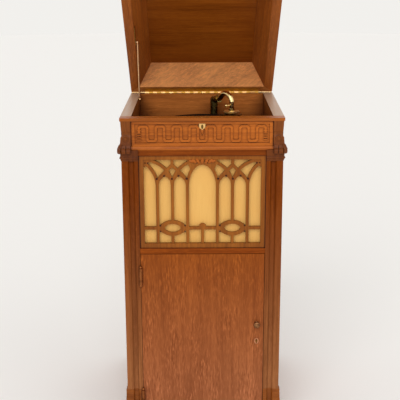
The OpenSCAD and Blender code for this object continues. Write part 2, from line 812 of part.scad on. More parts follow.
module board_cleats() {
    w = 20;
    y0 = y_front + post_d;
    y1 = y_back - box_back_t;
    z1 = z_board - board_t;
    color(dark_oak) {
        block([box_in - w, y0, z_post_top], [box_in, y1, z1]);
        block([-box_in, y0, z_post_top], [-box_in + w, y1, z1]);
    }
}

module box_lock() {
    color(brass) difference() {
        union() {
            block([-lock_w / 2, lock_y - lock_t / 2, rim_z - lock_h],
                [lock_w / 2, lock_y + lock_t / 2, rim_z]);
            translate([-1, lock_y - 1, rim_z]) cylinder(r = 1.5, h = lid_gap * 0.5, $fn = 24);
        }
        for (side = [-1, 1])
            block([side * 13 - 5, lock_y - 3.5, rim_z - 16], [side * 13 + 5, lock_y + 3.5, rim_z + cut]);
        keyhole(0, box_key_z, lock_y - lock_t, lock_y);
    }
}

// Shield over the lid's keyhole
module box_escutcheon() {
    y1 = y_front + frieze_set - strap_proud;
    color("#d8c9a0") difference() {
        from_front(y1 - 1.2, y1) translate([0, box_key_z])
            polygon(concat([[-shield_r, 7], [shield_r, 7], [shield_r, 0]],
                arc(0, 0, shield_r, -20, -70, 4), [[0, -1.25 * shield_r]],
                arc(0, 0, shield_r, -110, -160, 4), [[-shield_r, 0]]));
        keyhole(0, box_key_z, y1 - 2 * cut, y1 + cut);
    }
}

// ---------------------------------------------------------------- levers

lever_pin_r = 3;
brake_p = [spindle_x + platter_d / 2 + 8, spindle_y - 122];
speed_p = [spindle_x - platter_d / 2 + 6, spindle_y - 140];

module brake_lever() {
    pad_angle = -21;
    pad_r = platter_d / 2 + 6;
    pad = [spindle_x + (pad_r + 4) * cos(pad_angle), spindle_y + (pad_r + 4) * sin(pad_angle)];
    lift = z_board + 11;
    color(steel) {
        translate([brake_p[0], brake_p[1], z_board - 10]) cylinder(r = lever_pin_r, h = 24);
        translate([brake_p[0], brake_p[1], z_board + 0.3]) cylinder(r = 6, h = 11);
        hull() {
            translate([brake_p[0], brake_p[1], lift]) cylinder(r = 6, h = 2.5, $fn = 32);
            translate([pad[0], pad[1], lift]) cylinder(r = 4, h = 2.5, $fn = 32);
        }
        hull() {
            translate([brake_p[0], brake_p[1], lift]) cylinder(r = 6, h = 2.5, $fn = 32);
            translate([brake_p[0] - 4, brake_p[1] - 42, lift]) cylinder(r = 4, h = 2.5, $fn = 32);
        }
        translate([brake_p[0] - 4, brake_p[1] - 42, lift + 1]) cylinder(r = 5, h = 9, $fn = 48);
    }
    color("#3a2a20") translate([pad[0], pad[1], lift + 2]) rotate(pad_angle)
        translate([-4, -8, 0]) cube([6, 16, 10]);
}

module speed_lever() {
    color(brass) {
        translate([speed_p[0], speed_p[1], z_board - 10]) cylinder(r = lever_pin_r, h = 14);
        translate([speed_p[0], speed_p[1], z_board + 0.3]) cylinder(r = 8, h = 4);
        hull() {
            translate([speed_p[0], speed_p[1], z_board + 4]) cylinder(r = 5, h = 2, $fn = 32);
            translate([speed_p[0], speed_p[1] - 30, z_board + 4]) cylinder(r = 2, h = 2, $fn = 32);
        }
        translate([speed_p[0], speed_p[1] - 28, z_board + 5]) cylinder(r = 3, h = 7, $fn = 32);
    }
}

// ---------------------------------------------------------------- turntable

z_felt = rim_z - felt_drop;
z_platter = z_felt - felt_t - platter_h;

module turntable() {
    r = platter_d / 2;
    color("#2a2724") translate([spindle_x, spindle_y, z_platter]) rotate_extrude($fn = 180)
        polygon([[shaft_r + 0.02, -5], [14, -5], [18, platter_h - 5], [r - 6, platter_h - 5],
            [r - 5, 0], [r - 1, 0], [r, 1], [r, platter_h - 1.5], [r - 1.5, platter_h],
            [shaft_r + 0.02, platter_h]]);
}

module turntable_felt() {
    color("#17130f") translate([spindle_x, spindle_y, z_platter + platter_h]) difference() {
        cylinder(r = platter_d / 2 - 3, h = felt_t, $fn = 180);
        translate([0, 0, -cut]) cylinder(r = spindle_r + 0.6, h = felt_t + 2 * cut);
    }
}

// Outline of a spur gear with straight-sided teeth
function gear_outline(teeth, module_mm) =
    let (r = teeth * module_mm / 2, step = 360 / teeth, tip = r + 0.8 * module_mm,
        root = r - 1.15 * module_mm)
    [for (i = [0:teeth - 1], k = [0:3])
        let (a = step * (i + [-0.3, -0.1, 0.1, 0.3][k]), q = (k == 0 || k == 3) ? root : tip)
        [q * cos(a), q * sin(a)]];

// Turn that puts a tooth, or a gap, of a gear on the line towards an angle
function tooth_at(angle) = angle;
function gap_at(angle, teeth) = angle + 180 / teeth;

module spindle() {
    tip = z_felt + spindle_tip;
    foot = motor_foot - 4;
    color(steel) {
        translate([spindle_x, spindle_y, foot]) cylinder(r = shaft_r, h = z_felt - felt_t - foot);
        translate([spindle_x, spindle_y, z_felt - felt_t - cut])
            cylinder(r = spindle_r, h = tip - 1.5 - z_felt + felt_t + cut);
        translate([spindle_x, spindle_y, tip - 1.5])
            cylinder(r1 = spindle_r, r2 = spindle_r - 1.5, h = 1.5);
        translate([spindle_x, spindle_y, z_barrel]) rotate(tooth_at(train_turn))
            linear_extrude(8) polygon(gear_outline(pinion_teeth, barrel_module));
        translate([spindle_x, spindle_y, z_barrel + barrel_h + 3]) rotate(tooth_at(train_turn + 180))
            linear_extrude(5) polygon(gear_outline(governor_gear_teeth, 1));
    }
}

module spring_barrel() {
    color(steel) translate([barrel_p[0], barrel_p[1], z_barrel]) difference() {
        union() {
            rotate(gap_at(train_turn + 180, barrel_teeth)) translate([0, 0, 1]) linear_extrude(6)
                polygon(gear_outline(barrel_teeth, barrel_module));
            cylinder(r = barrel_teeth * barrel_module / 2 - 5, h = barrel_h);
        }
        translate([0, 0, -cut]) cylinder(r = 5 + run, h = barrel_h + 2 * cut);
    }
}

module governor() {
    z0 = motor_foot;
    color(brass) translate([governor_p[0], governor_p[1], 0]) {
        translate([0, 0, z0 + 0.5]) cylinder(r = 2.5, h = motor_top - z0 + plate_t - 1);
        translate([0, 0, z_barrel + barrel_h + 2]) rotate(gap_at(train_turn, governor_teeth))
            linear_extrude(7) polygon(gear_outline(governor_teeth, 1));
        translate([0, 0, z0 + 10]) cylinder(r = 11, h = 2);
        for (i = [0:2]) rotate(120 * i + 15) {
            translate([10, 0, z_barrel + 16]) sphere(r = 3.6, $fn = 32);
            translate([7, -1.5, z0 + 11]) cube([1, 3, z_barrel + barrel_h - z0 - 16]);
        }
        translate([0, 0, z_barrel + barrel_h - 6]) cylinder(r = 8.5, h = 3);
    }
}

// Bevel gear whose teeth run to a point at the place where the shafts meet
module bevel_gear() {
    linear_extrude(bevel_r / 2, scale = 0.5) polygon(gear_outline(16, bevel_r / 8));
}

module winding_arbor() {
    color(steel) translate([barrel_p[0], barrel_p[1], 0]) {
        translate([0, 0, motor_foot + 0.5]) cylinder(r = 5, h = wind_z - bevel_r - motor_foot);
        translate([0, 0, wind_z - bevel_r]) rotate(tooth_at(0)) bevel_gear();
    }
}

module winding_shaft() {
    x0 = barrel_p[0] + bevel_r;
    color(steel) translate([0, wind_y, wind_z]) difference() {
        union() {
            translate([x0 - 0.5, 0, 0]) rotate([0, 90, 0]) cylinder(r = wind_r, h = case_w / 2 + 2 - x0);
            translate([x0, 0, 0]) rotate([0, -90, 0]) rotate(gap_at(180, 16)) bevel_gear();
        }
        translate([case_w / 2 - 20, 0, 0]) rotate([0, 90, 0]) cylinder(r = wind_r - 2, h = 30);
    }
}

module crank_escutcheon() {
    color(brass) translate([post_x - side_rail_set, wind_y, wind_z]) rotate([0, 90, 0]) difference() {
        union() {
            cylinder(r = 15, h = 2);
            cylinder(r = 11, h = 3.5);
        }
        translate([0, 0, -cut]) cylinder(r = wind_r + 1.5, h = 10);
    }
}

module motor_frame() {
    color(steel) difference() {
        union() {
            for (z = [motor_foot, motor_top])
                block([-42, -78, z], [88, 62, z + plate_t]);
            for (x = [-36, 82], y = [-72, 56])
                translate([x, y, motor_foot]) cylinder(r = 4, h = z_board - board_t - motor_foot);
        }
        for (z = [motor_foot - cut, motor_top - cut]) {
            translate([spindle_x, spindle_y, z]) cylinder(r = shaft_r + run, h = plate_t + 2 * cut);
            translate([barrel_p[0], barrel_p[1], z]) cylinder(r = 5 + run, h = plate_t + 2 * cut);
            translate([governor_p[0], governor_p[1], z]) cylinder(r = 2.5 + run, h = plate_t + 2 * cut);
        }
    }
}

// ---------------------------------------------------------------- tone arm

// The neck's elbow, and the spout on it that holds the bent tube
elbow_z = rim_z - 14;
elbow_r = neck_r + 0.5;
spout_l = 30;
spout_slope = 16;
spout_wall = 1.5;
socket_l = 6;

module arm_base() {
    color(cast_black) translate([arm_x, arm_y, z_board]) difference() {
        rotate_extrude() polygon([[neck_r + run, 0], [28, 0], [28, 3], [26, 5], [19, 7],
            [17, 12], [17, 16], [16, 17], [neck_r + run, 17]]);
        for (i = [0:2]) rotate(120 * i + 30) translate([23, 0, -cut]) cylinder(r = 1.8, h = 9, $fn = 12);
    }
}

module along_spout() {
    translate([arm_x, arm_y, elbow_z]) rotate(arm_turn) rotate([0, 90 - spout_slope, 0]) children();
}

module arm_neck() {
    color(cast_black) difference() {
        union() {
            translate([arm_x, arm_y, z_throat - 2]) cylinder(r = neck_r, h = elbow_z - z_throat + 2);
            translate([arm_x, arm_y, z_board + 17.3]) cylinder(r = neck_r + 3, h = 5);
            translate([arm_x, arm_y, z_board + 22]) cylinder(r1 = neck_r + 1.8, r2 = neck_r + 0.2,
                h = elbow_z - z_board - 22);
            translate([arm_x, arm_y, elbow_z]) sphere(r = elbow_r);
            along_spout() cylinder(r1 = elbow_r - 0.3, r2 = spout_r + spout_wall, h = spout_l);
            along_spout() translate([0, 0, spout_l - 3]) cylinder(r = spout_r + spout_wall + 1, h = 3);
        }
        along_spout() translate([0, 0, spout_l - socket_l]) cylinder(r = spout_r + run, h = socket_l + cut);
    }
}

// Stations along an arc in the plane of reach and height, from heading h0 to h1
function arc_stations(u, z, h0, h1, r, n) = [for (i = [0:n]) let (h = h0 + (h1 - h0) * i / n)
    [u + r * (sin(h0) - sin(h)), z + r * (cos(h) - cos(h0)), h]];

// The bent tube leaves the spout, rises, and falls in one curve to the sound box
function on_spout(l) = [l * cos(spout_slope), elbow_z + l * sin(spout_slope), spout_slope];
bend_run = 12;
bend_up = arc_stations(on_spout(spout_l)[0], on_spout(spout_l)[1], spout_slope, bend_slope, -20, 3);
bend_u = bend_up[3][0] + bend_run * cos(bend_slope);
bend_z = bend_up[3][1] + bend_run * sin(bend_slope);
fall_r = (arm_reach - bend_u) / (1 + sin(bend_slope));
bend_fall = arc_stations(bend_u, bend_z, bend_slope, -90, fall_r, 13);
bend_sides = 24;

// Radius of the tube at a reach, which shrinks from the spout to the sound box
function tube_r(u) = let (share = (u - bend_up[0][0]) / (arm_reach - bend_up[0][0]))
    spout_r + (bend_r - spout_r) * max(0, share);

module arm_bend() {
    stations = concat([on_spout(spout_l - socket_l + clear)], bend_up, bend_fall,
        [[arm_reach, z_box_top, -90]]);
    n = bend_sides;
    m = len(stations);
    color(brass) translate([arm_x, arm_y, 0]) rotate(arm_turn) {
        polyhedron([for (p = stations, i = [0:n - 1]) let (a = 360 * i / n, r = tube_r(p[0]))
            [p[0] - r * cos(a) * sin(p[2]), r * sin(a), p[1] + r * cos(a) * cos(p[2])]],
            concat([[for (i = [n - 1:-1:0]) i], [for (i = [0:n - 1]) (m - 1) * n + i]],
            [for (j = [0:m - 2], i = [0:n - 1], half = [0, 1])
                let (a = j * n + i, b = j * n + (i + 1) % n)
                half == 0 ? [a, b, a + n] : [b, b + n, a + n]]));
        translate([arm_reach, 0, z_box_top]) cylinder(r = bend_r + 2.5, h = 4);
        // lifting knob on a short stem at the side
        translate([arm_reach, 0, z_box_top + 16]) rotate([90, 0, 0]) cylinder(r = 1.5, h = 22, $fn = 24);
        translate([arm_reach, -23, z_box_top + 16]) sphere(r = 4, $fn = 48);
    }
}

z_box_top = rim_z - 35;

// Places under the arm's end that the sound box and its weight share
pin_u = -28;
pin_z = -12;

module at_arm_end() {
    translate([arm_x, arm_y, z_box_top]) rotate(arm_turn) translate([arm_reach, 0, 0]) children();
}

// The sound box's housing, with an ear behind that the weight hangs from
module sound_box() {
    r = sound_box_d / 2;
    color(bronze) at_arm_end() {
        rotate_extrude() polygon([[0, 0], [bend_r, 0], [bend_r + 2, -2], [r - 10, -3], [r - 7, -5],
            [r - 8, -8], [14, -8], [13, -10], [0, -10]]);
        translate([pin_u - 3, -3, pin_z - 2.5]) cube([8, 6, 9]);
        translate([pin_u, -7, pin_z]) rotate([-90, 0, 0]) cylinder(r = 1, h = 14, $fn = 24);
    }
}

// The floating weight: a dished disc on two ears, with the needle bar under it
module needle_weight() {
    r = sound_box_d / 2;
    color(bronze) at_arm_end() difference() {
        union() {
            rotate_extrude() polygon([[0, -18], [r - 8, -18], [r - 1, -16.5], [r, -15], [r, -14],
                [r - 1, -13.5], [r - 4, -13.2], [0, -13.2]]);
            for (side = [-1, 1]) translate([pin_u - 3, side * 5 - 1.5, -15]) cube([6, 3, 6]);
            translate([-6, -3, -20]) cube([r, 6, 3]);
            translate([r - 8, 0, -20.5]) cylinder(r = 1.5, h = 4, $fn = 24);
        }
        translate([pin_u, -10, pin_z]) rotate([-90, 0, 0]) cylinder(r = 1 + run, h = 20, $fn = 24);
        translate([pin_u - 4, -3.5, -15.5]) cube([10, 7, 10]);
    }
}

// ---------------------------------------------------------------- door

door_x0 = -bay + 1.2;
door_x1 = bay - door_gap;
door_z0 = base_rail_h + door_gap;
door_z1 = z_door_top - door_gap;
knob_x = door_x1 - knob_inset;
door_hinge_x = -bay + 0.6;
door_hinge_y = y_front - knuckle_r - clear;
leaf_t = 1.4;
leaf_l = 20;

// Heights of the two hinges' feet
function door_hinge_zs() = [door_z1 - 44 - door_hinge_h, door_z0 + 18];

// Seat of a hinge leaf and its knuckles in the post, drawn on the right-hand post
module door_hinge_seat(z) {
    room = knuckle_r + 1;
    block([bay - cut, y_front - cut, z], [bay + leaf_t - 0.4, y_front + leaf_l, z + door_hinge_h]);
    block([bay - cut, y_front - plinth_flare - cut, z - 2 * room],
        [bay + room, y_front, z + door_hinge_h + 2 * room]);
}

module door_panel() {
    color(red_oak) difference() {
        block([door_x0, y_front + 1, door_z0], [door_x1, y_front + 1 + door_t, door_z1]);
        for (z = door_hinge_zs())
            block([door_x0 - cut, y_front - cut, z], [door_x0 + leaf_t - 0.4, y_front + leaf_l, z + door_hinge_h]);
        block([door_x1 - 46, y_front + 7, key_z - 26], [door_x1 + cut, y_front + 16, key_z + 26]);
        keyhole(knob_x, key_z, y_front - cut, y_front + 9);
        translate([knob_x, y_front + 1 + door_t + cut, door_z0 + knob_z]) rotate([90, 0, 0])
            cylinder(r = 2.5, h = door_t + 2 * cut);
    }
}

key_z = door_z0 + knob_z - keyhole_drop;

module door_lock() {
    color(brass) difference() {
        block([door_x1 - 46, y_front + 7, key_z - 26], [door_x1, y_front + 16, key_z + 26]);
        keyhole(knob_x, key_z, y_front, y_front + 12);
    }
}

module door_escutcheon() {
    color("#b5703c") difference() {
        from_front(y_front - 0.6, y_front + 1) translate([knob_x, key_z]) polygon(oval(7.5, 10.5));
        keyhole(knob_x, key_z, y_front - 2 * cut, y_front + 2 * cut);
    }
}

module door_knob() {
    r = knob_d / 2;
    color(bronze) translate([knob_x, y_front + 1, door_z0 + knob_z]) {
        rotate([90, 0, 0]) rotate_extrude() polygon(concat([[0, 0], [7, 0], [7, 1.5], [4.5, 3],
            [3.6, 6]], arc(r - 5, 12, 5, -110, 90, 10), [[0, 18.5]]));
        rotate([-90, 0, 0]) cylinder(r = 2.48, h = door_t);
    }
}

module door_hinge_fixed() {
    part = door_hinge_h / 5;
    color(brass) for (z = door_hinge_zs()) {
        block([-bay - leaf_t + 0.4, y_front, z], [-bay + 0.4, y_front + leaf_l, z + door_hinge_h]);
        for (i = [0:2:4]) {
            translate([door_hinge_x, door_hinge_y, z + i * part + 0.15])
                cylinder(r = knuckle_r, h = part - 0.3, $fn = 48);
            block([-bay - leaf_t + 0.4, door_hinge_y, z + i * part + 0.15],
                [-bay + 0.4, y_front, z + (i + 1) * part - 0.15]);
        }
        translate([door_hinge_x, door_hinge_y, z - 3]) cylinder(r = 2, h = door_hinge_h + 6, $fn = 48);
        for (e = [z - 4, z + door_hinge_h + 4])
            translate([door_hinge_x, door_hinge_y, e]) sphere(r = 4.2, $fn = 48);
    }
}

module door_hinge_moving() {
    part = door_hinge_h / 5;
    color(brass) for (z = door_hinge_zs()) difference() {
        union() {
            block([door_x0 - 0.4, y_front + 0.3, z], [door_x0 + leaf_t - 0.4, y_front + leaf_l, z + door_hinge_h]);
            for (i = [1, 3]) {
                translate([door_hinge_x, door_hinge_y, z + i * part + 0.15])
                    cylinder(r = knuckle_r, h = part - 0.3, $fn = 48);
                block([door_x0 - 0.4, door_hinge_y, z + i * part + 0.15],
                    [door_x0 + leaf_t - 0.4, y_front + 1, z + (i + 1) * part - 0.15]);
            }
        }
        translate([door_hinge_x, door_hinge_y, z - cut])
            cylinder(r = 2 + run, h = door_hinge_h + 2 * cut, $fn = 48);
    }
}

// ---------------------------------------------------------------- lid

// Stands the closed lid open about its hinge
module opened() {
    translate([0, hinge_y, hinge_z]) rotate([-lid_open, 0, 0]) translate([0, -hinge_y, -hinge_z])
        children();
}

z_lid = rim_z + lid_gap;
// How far the lid's cove runs in, and the thickness of the top panel above it
lid_cove = 42;
lid_top_t = 16;

// The lid's outline over a half width: a fillet at the rim and a cove above it
function lid_outline(half) = concat([[half, z_lid], [half, z_lid + 13]],
    arc(half - 2, z_lid + 13, 2, 0, 90, 3),
    bow([half - 5, z_lid + 15], [half - lid_cove, z_lid + lid_h - lid_top_t], 7));

// The hollow's outline, which leans in as it rises
function hollow_outline(half) = [[half + cut * lid_lean / lid_depth, z_lid - cut],
    [half - lid_lean, z_lid + lid_depth]];

module lid_hollow() {
    front_view = hollow_outline(case_w / 2 - lid_wall);
    to_back = hollow_outline(case_d / 2 - lid_back_wall);
    to_front = hollow_outline(case_d / 2 - lid_wall);
    moulded_block(both(front_view),
        [to_back[0], to_back[1], [-to_front[1][0], to_front[1][1]], [-to_front[0][0], to_front[0][1]]]);
}

module lid_shell() {
    difference() {
        moulded_block(both(lid_outline(case_w / 2)), both(lid_outline(case_d / 2)));
        lid_hollow();
        top_tongue();
    }
}

// Plan of the board between two mitres, drawn for the right-hand side
module mitre(half_x, half_y) {
    reach = min(half_x, half_y);
    translate([0, 0, z_lid - 2 * cut]) linear_extrude(lid_h + 4 * cut)
        polygon([[half_x + cut, half_y + cut], [half_x - reach, half_y - reach],
            [half_x - reach, -half_y + reach], [half_x + cut, -half_y - cut]]);
}

// The top panel's tongue, which closes the hollow
module top_tongue() {
    block([-case_w / 2 + 64, -case_d / 2 + 64, z_lid + lid_depth],
        [case_w / 2 - 64, case_d / 2 - 64, z_lid + lid_h]);
}

module lid_side_right() {
    color(oak) opened() intersection() {
        lid_shell();
        mitre(case_w / 2, case_d / 2);
    }
}

// The left side board is let in for the stay and its slide
module lid_side_left() {
    color(oak) opened() difference() {
        intersection() {
            lid_shell();
            left() mitre(case_w / 2, case_d / 2);
        }
        block([slide_x, slide_y0 - 14, z_lid - cut],
            [slide_x + lid_lean, slide_y1 + 60, slide_z + slide_rim + 1]);
    }
}

module lid_front() {
    color(oak) opened() difference() {
        intersection() {
            lid_shell();
            rotate(-90) mitre(case_d / 2, case_w / 2);
        }
        block([-catch_w / 2, lock_y - 5, z_lid - cut], [catch_w / 2, lock_y + 5, z_lid + 2]);
    }
}

module lid_back() {
    color(oak) opened() difference() {
        intersection() {
            lid_shell();
            rotate(90) mitre(case_d / 2, case_w / 2);
        }
        block([-lid_hinge_l / 2, y_back - leaf_w, z_lid - cut], [lid_hinge_l / 2, y_back + cut, z_lid + lid_leaf_t]);
    }
}

// Outline of the top panel's moulded edge
function top_outline(half) =
    let (z0 = z_lid + lid_h - lid_top_t, e = half - lid_cove)
    concat([[e, z0], [e + 3, z0 + 3], [e + 3, z0 + 6], [e + 1, z0 + 7]],
        bow([e, z0 + 7], [e - 12, z0 + lid_top_t - 1], 2.5, 5), [[e - 14, z0 + lid_top_t]]);

module lid_top() {
    color(oak) opened() {
        top_tongue();
        moulded_block(both(top_outline(case_w / 2)), both(top_outline(case_d / 2)));
    }
}

catch_w = 44;

// Strike plate with the two hooks that drop into the lock
module lid_catch() {
    color(brass) opened() {
        block([-catch_w / 2, lock_y - 5, z_lid], [catch_w / 2, lock_y + 5, z_lid + 2]);
        for (side = [-1, 1])
            block([side * 13 - 3, lock_y - 1.5, z_lid - 11], [side * 13 + 3, lock_y + 1.5, z_lid + 1]);
    }
}

// ---------------------------------------------------------------- long hinge

leaf_w = 18;
lid_leaf_t = 1.2;
lid_knuckle_r = 2.8;

// Seat for the fixed leaf in the back wall's top
module lid_leaf_seat() {
    block([-lid_hinge_l / 2, y_back - leaf_w, rim_z - lid_leaf_t], [lid_hinge_l / 2, y_back + cut, rim_z + cut]);
}

// Every other knuckle of the long hinge
module lid_knuckle_row(first) {
    part = lid_hinge_l / lid_knuckles;
    for (i = [first:2:lid_knuckles - 1])
        translate([-lid_hinge_l / 2 + i * part + 0.15, hinge_y, hinge_z]) rotate([0, 90, 0])
            cylinder(r = lid_knuckle_r, h = part - 0.3, $fn = 32);
}

module lid_hinge_fixed() {
    part = lid_hinge_l / lid_knuckles;
    color(brass) {
        block([-lid_hinge_l / 2, y_back - leaf_w, rim_z - lid_leaf_t],
            [lid_hinge_l / 2, y_back - 0.5, rim_z]);
        for (i = [0:2:lid_knuckles - 1]) translate([-lid_hinge_l / 2 + i * part + 0.15, 0, 0])
            block([0, y_back - 1, rim_z - lid_leaf_t], [part - 0.3, hinge_y, rim_z]);
        lid_knuckle_row(0);
        translate([-lid_hinge_l / 2 + 0.15, hinge_y, hinge_z]) rotate([0, 90, 0])
            cylinder(r = 1.2, h = lid_hinge_l - 0.3, $fn = 32);
    }
}

module lid_hinge_moving() {
    part = lid_hinge_l / lid_knuckles;
    color(brass) opened() difference() {
        union() {
            block([-lid_hinge_l / 2, y_back - leaf_w, z_lid], [lid_hinge_l / 2, y_back - 0.5, z_lid + lid_leaf_t]);
            for (i = [1:2:lid_knuckles - 1]) translate([-lid_hinge_l / 2 + i * part + 0.15, 0, 0])
                block([0, y_back - 1, z_lid], [part - 0.3, hinge_y, z_lid + lid_leaf_t]);
            lid_knuckle_row(1);
        }
        translate([-lid_hinge_l / 2 - cut, hinge_y, hinge_z]) rotate([0, 90, 0])
            cylinder(r = 1.2 + run, h = lid_hinge_l + 2 * cut, $fn = 32);
    }
}

// ---------------------------------------------------------------- lid stay

// Face that the slide is screwed to, the slide's thickness and its width round the slot
slide_x = -case_w / 2 + lid_wall + 1;
slide_t = 1.2;
slide_rim = 4.3;

// Pin on the box's wall that the rod's foot turns on
module stay_foot() {
    gap = stay_x + box_in - stay_eye_t / 2;
    color(brass) translate([-box_in, foot_p[0], foot_p[1]]) rotate([0, 90, 0]) {
        cylinder(r = 3.4, h = gap - clear, $fn = 48);
        cylinder(r = foot_pin_r, h = gap + stay_eye_t + clear + 1, $fn = 48);
        translate([0, 0, gap + stay_eye_t + clear]) cylinder(r = 3, h = 1.2, $fn = 48);
    }
}

// Slotted plate on the lid's side that the rod's upper pin runs in
module stay_slide() {
    play = stay_pin_r + clear;
    color(brass) opened() difference() {
        block([slide_x, slide_y0 - 9, z_lid + 0.8], [slide_x + slide_t, slide_y1 + 9, slide_z + slide_rim]);
        block([slide_x - cut, slide_y0 - play, slide_z - slide_dip - play],
            [slide_x + slide_t + cut, slide_y1 + play, slide_z + play]);
    }
}

module stay_rod() {
    eye_r = 3.6;
    rod_end = eye_r + 0.5;
    reach = stay_x - slide_x - clear;
    color(brass) translate([stay_x, foot_p[0], foot_p[1]]) rotate([90 - stay_a, 0, 0]) difference() {
        union() {
            for (z = [0, stay_l]) translate([-stay_eye_t / 2, 0, z]) rotate([0, 90, 0])
                cylinder(r = eye_r, h = stay_eye_t, $fn = 48);
            translate([0, 0, eye_r - 1]) cylinder(r = stay_eye_t / 2 - 0.2, h = stay_l - 2 * eye_r + 2, $fn = 48);
            translate([0, 0, rod_end]) cylinder(r = stay_r, h = stay_l - 2 * rod_end, $fn = 48);
            translate([-reach, 0, stay_l]) rotate([0, 90, 0]) cylinder(r = stay_pin_r, h = reach, $fn = 32);
        }
        translate([-stay_eye_t, 0, 0]) rotate([0, 90, 0])
            cylinder(r = foot_pin_r + run, h = 2 * stay_eye_t, $fn = 48);
    }
}

plinth();
bottom_board();
post_front_left();
post_front_right();
post_back_left();
post_back_right();
console_left();
console_right();
side_panel_left();
side_panel_right();
side_rails();
box_side_left();
box_side_right();
box_back();
back_panel();
rim_rail();
frieze();
front_rails();
grille();
grille_cloth();
horn();
horn_floor();
record_dividers();
motor_board();
board_cleats();
box_lock();
box_escutcheon();
stay_foot();
crank_escutcheon();
arm_base();
motor_frame();
door_hinge_fixed();
lid_hinge_fixed();
door_panel();
door_knob();
door_escutcheon();
door_lock();
door_hinge_moving();
lid_side_left();
lid_side_right();
lid_front();
lid_back();
lid_top();
lid_hinge_moving();
lid_catch();
stay_slide();
stay_rod();
turntable();
turntable_felt();
spindle();
spring_barrel();
governor();
winding_arbor();
winding_shaft();
arm_neck();
arm_bend();
sound_box();
needle_weight();
brake_lever();
speed_lever();
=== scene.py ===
# %% [markdown]
# # An upright gramophone in an oak cabinet
# The solid parts come from CAD as a fixed frame. This lesson dresses them: it sets the
# camera and the light, gives every wood, metal and cloth its finish, and adds what is too
# soft or too small for CAD, such as the cloth, the felt, the screws and the carved leaves.

# %% Load the frame
import json
import math
import random

import bpy
from mathutils import Matrix, Vector


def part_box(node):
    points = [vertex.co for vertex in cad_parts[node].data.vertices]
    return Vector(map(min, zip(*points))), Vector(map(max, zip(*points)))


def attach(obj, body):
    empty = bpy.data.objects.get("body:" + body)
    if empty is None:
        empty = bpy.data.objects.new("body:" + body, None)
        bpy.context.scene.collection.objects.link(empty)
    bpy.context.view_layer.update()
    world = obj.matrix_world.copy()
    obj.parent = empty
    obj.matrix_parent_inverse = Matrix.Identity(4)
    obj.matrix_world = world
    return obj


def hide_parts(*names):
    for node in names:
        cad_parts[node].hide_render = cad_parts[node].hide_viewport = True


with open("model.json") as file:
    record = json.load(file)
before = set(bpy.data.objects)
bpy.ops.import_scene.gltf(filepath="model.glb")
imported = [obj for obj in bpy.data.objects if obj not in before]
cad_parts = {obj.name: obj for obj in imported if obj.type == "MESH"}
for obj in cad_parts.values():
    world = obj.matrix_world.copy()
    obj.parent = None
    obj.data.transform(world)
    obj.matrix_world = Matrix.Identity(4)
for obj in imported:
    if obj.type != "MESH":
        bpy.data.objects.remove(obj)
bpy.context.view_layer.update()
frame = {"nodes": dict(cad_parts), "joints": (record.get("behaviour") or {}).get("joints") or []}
nodes = frame["nodes"]

# %% [markdown]
# The places that later cells need are read from the frame, so they follow the CAD part if
# its sizes change. Everything is in metres.

# %% Places on the case
MM = 0.001
rail_low, rail_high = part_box("rim_rail")
rim_z = rail_high.z
front_y = rail_low.y
half_width = rail_high.x
corner_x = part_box("post_front_right")[1].x
lid_hinge = [joint for joint in frame["joints"] if joint["name"] == "lid_hinge"][0]
pivot = Vector(lid_hinge["pos_m"])
lid_open = math.radians(lid_hinge["range_deg"][1])
print("rim at", round(rim_z, 4), "front at", round(front_y, 4), "corner at", round(corner_x, 4))

# %% [markdown]
# ## Camera
# The photograph was taken from in front with a long lens, from a little above the rim. A
# focal length in pixels divided by the picture's width, times the sensor's width, gives
# the lens. The camera looks straight back and is pitched down, and it was held a quarter of
# a degree off level.

# %% Camera
PHOTO_PX = 400
FOCAL_PX = 887.7
SENSOR_MM = 36
CAMERA_ASIDE = -0.0073
CAMERA_AHEAD = 2.5576
CAMERA_ABOVE = 0.4696
PITCH_DOWN_DEG = 15.67
ROLL_DEG = -0.22
camera_data = bpy.data.cameras.new("camera")
camera_data.sensor_width = SENSOR_MM
camera_data.lens = SENSOR_MM * FOCAL_PX / PHOTO_PX
camera = bpy.data.objects.new("camera", camera_data)
camera.location = (CAMERA_ASIDE, front_y - CAMERA_AHEAD, rim_z + CAMERA_ABOVE)
pitch = Matrix.Rotation(math.radians(90 - PITCH_DOWN_DEG), 3, "X")
roll = Matrix.Rotation(math.radians(ROLL_DEG), 3, "Z")
camera.rotation_euler = (pitch @ roll).to_euler()
bpy.context.scene.collection.objects.link(camera)
bpy.context.scene.camera = camera
print("lens", round(camera_data.lens, 1), "mm")

# %% [markdown]
# ## Colour
# Colours are picked as the 0 to 255 numbers of a paint program, and Blender's
# shaders work with linear light, so one small function turns the first into the second. A
# finish is made of lighter and darker kinds of one tone, which a second function gives.

# %% Colour helpers
def paint(red, green, blue):
    """A colour given as 0 to 255 display values, as linear light."""
    def channel(value):
        value = value / 255
        return value / 12.92 if value <= 0.04045 else ((value + 0.055) / 1.055) ** 2.4
    return (channel(red), channel(green), channel(blue), 1.0)


def scaled(tone, red, green, blue):
    """A tone with each of its channels multiplied, and none above 1."""
    return (min(1, tone[0] * red), min(1, tone[1] * green), min(1, tone[2] * blue), 1)


bpy.context.scene.view_settings.view_transform = "Standard"

# %% [markdown]
# ## Node helpers
# Every finish is a small network of nodes. One function adds a node, sets what it is told
# and joins sockets, so that each recipe below reads as a list of steps.

# %% Node helpers
def add(tree, kind, inputs=None, **settings):
    """Adds a node. Its inputs are numbers, colours or another node's output socket."""
    made = tree.nodes.new("ShaderNode" + kind)
    for key, value in settings.items():
        setattr(made, key, value)
    for key, value in (inputs or {}).items():
        socket = made.inputs[key]
        if isinstance(value, bpy.types.NodeSocket):
            tree.links.new(value, socket)
        else:
            socket.default_value = value
    return made


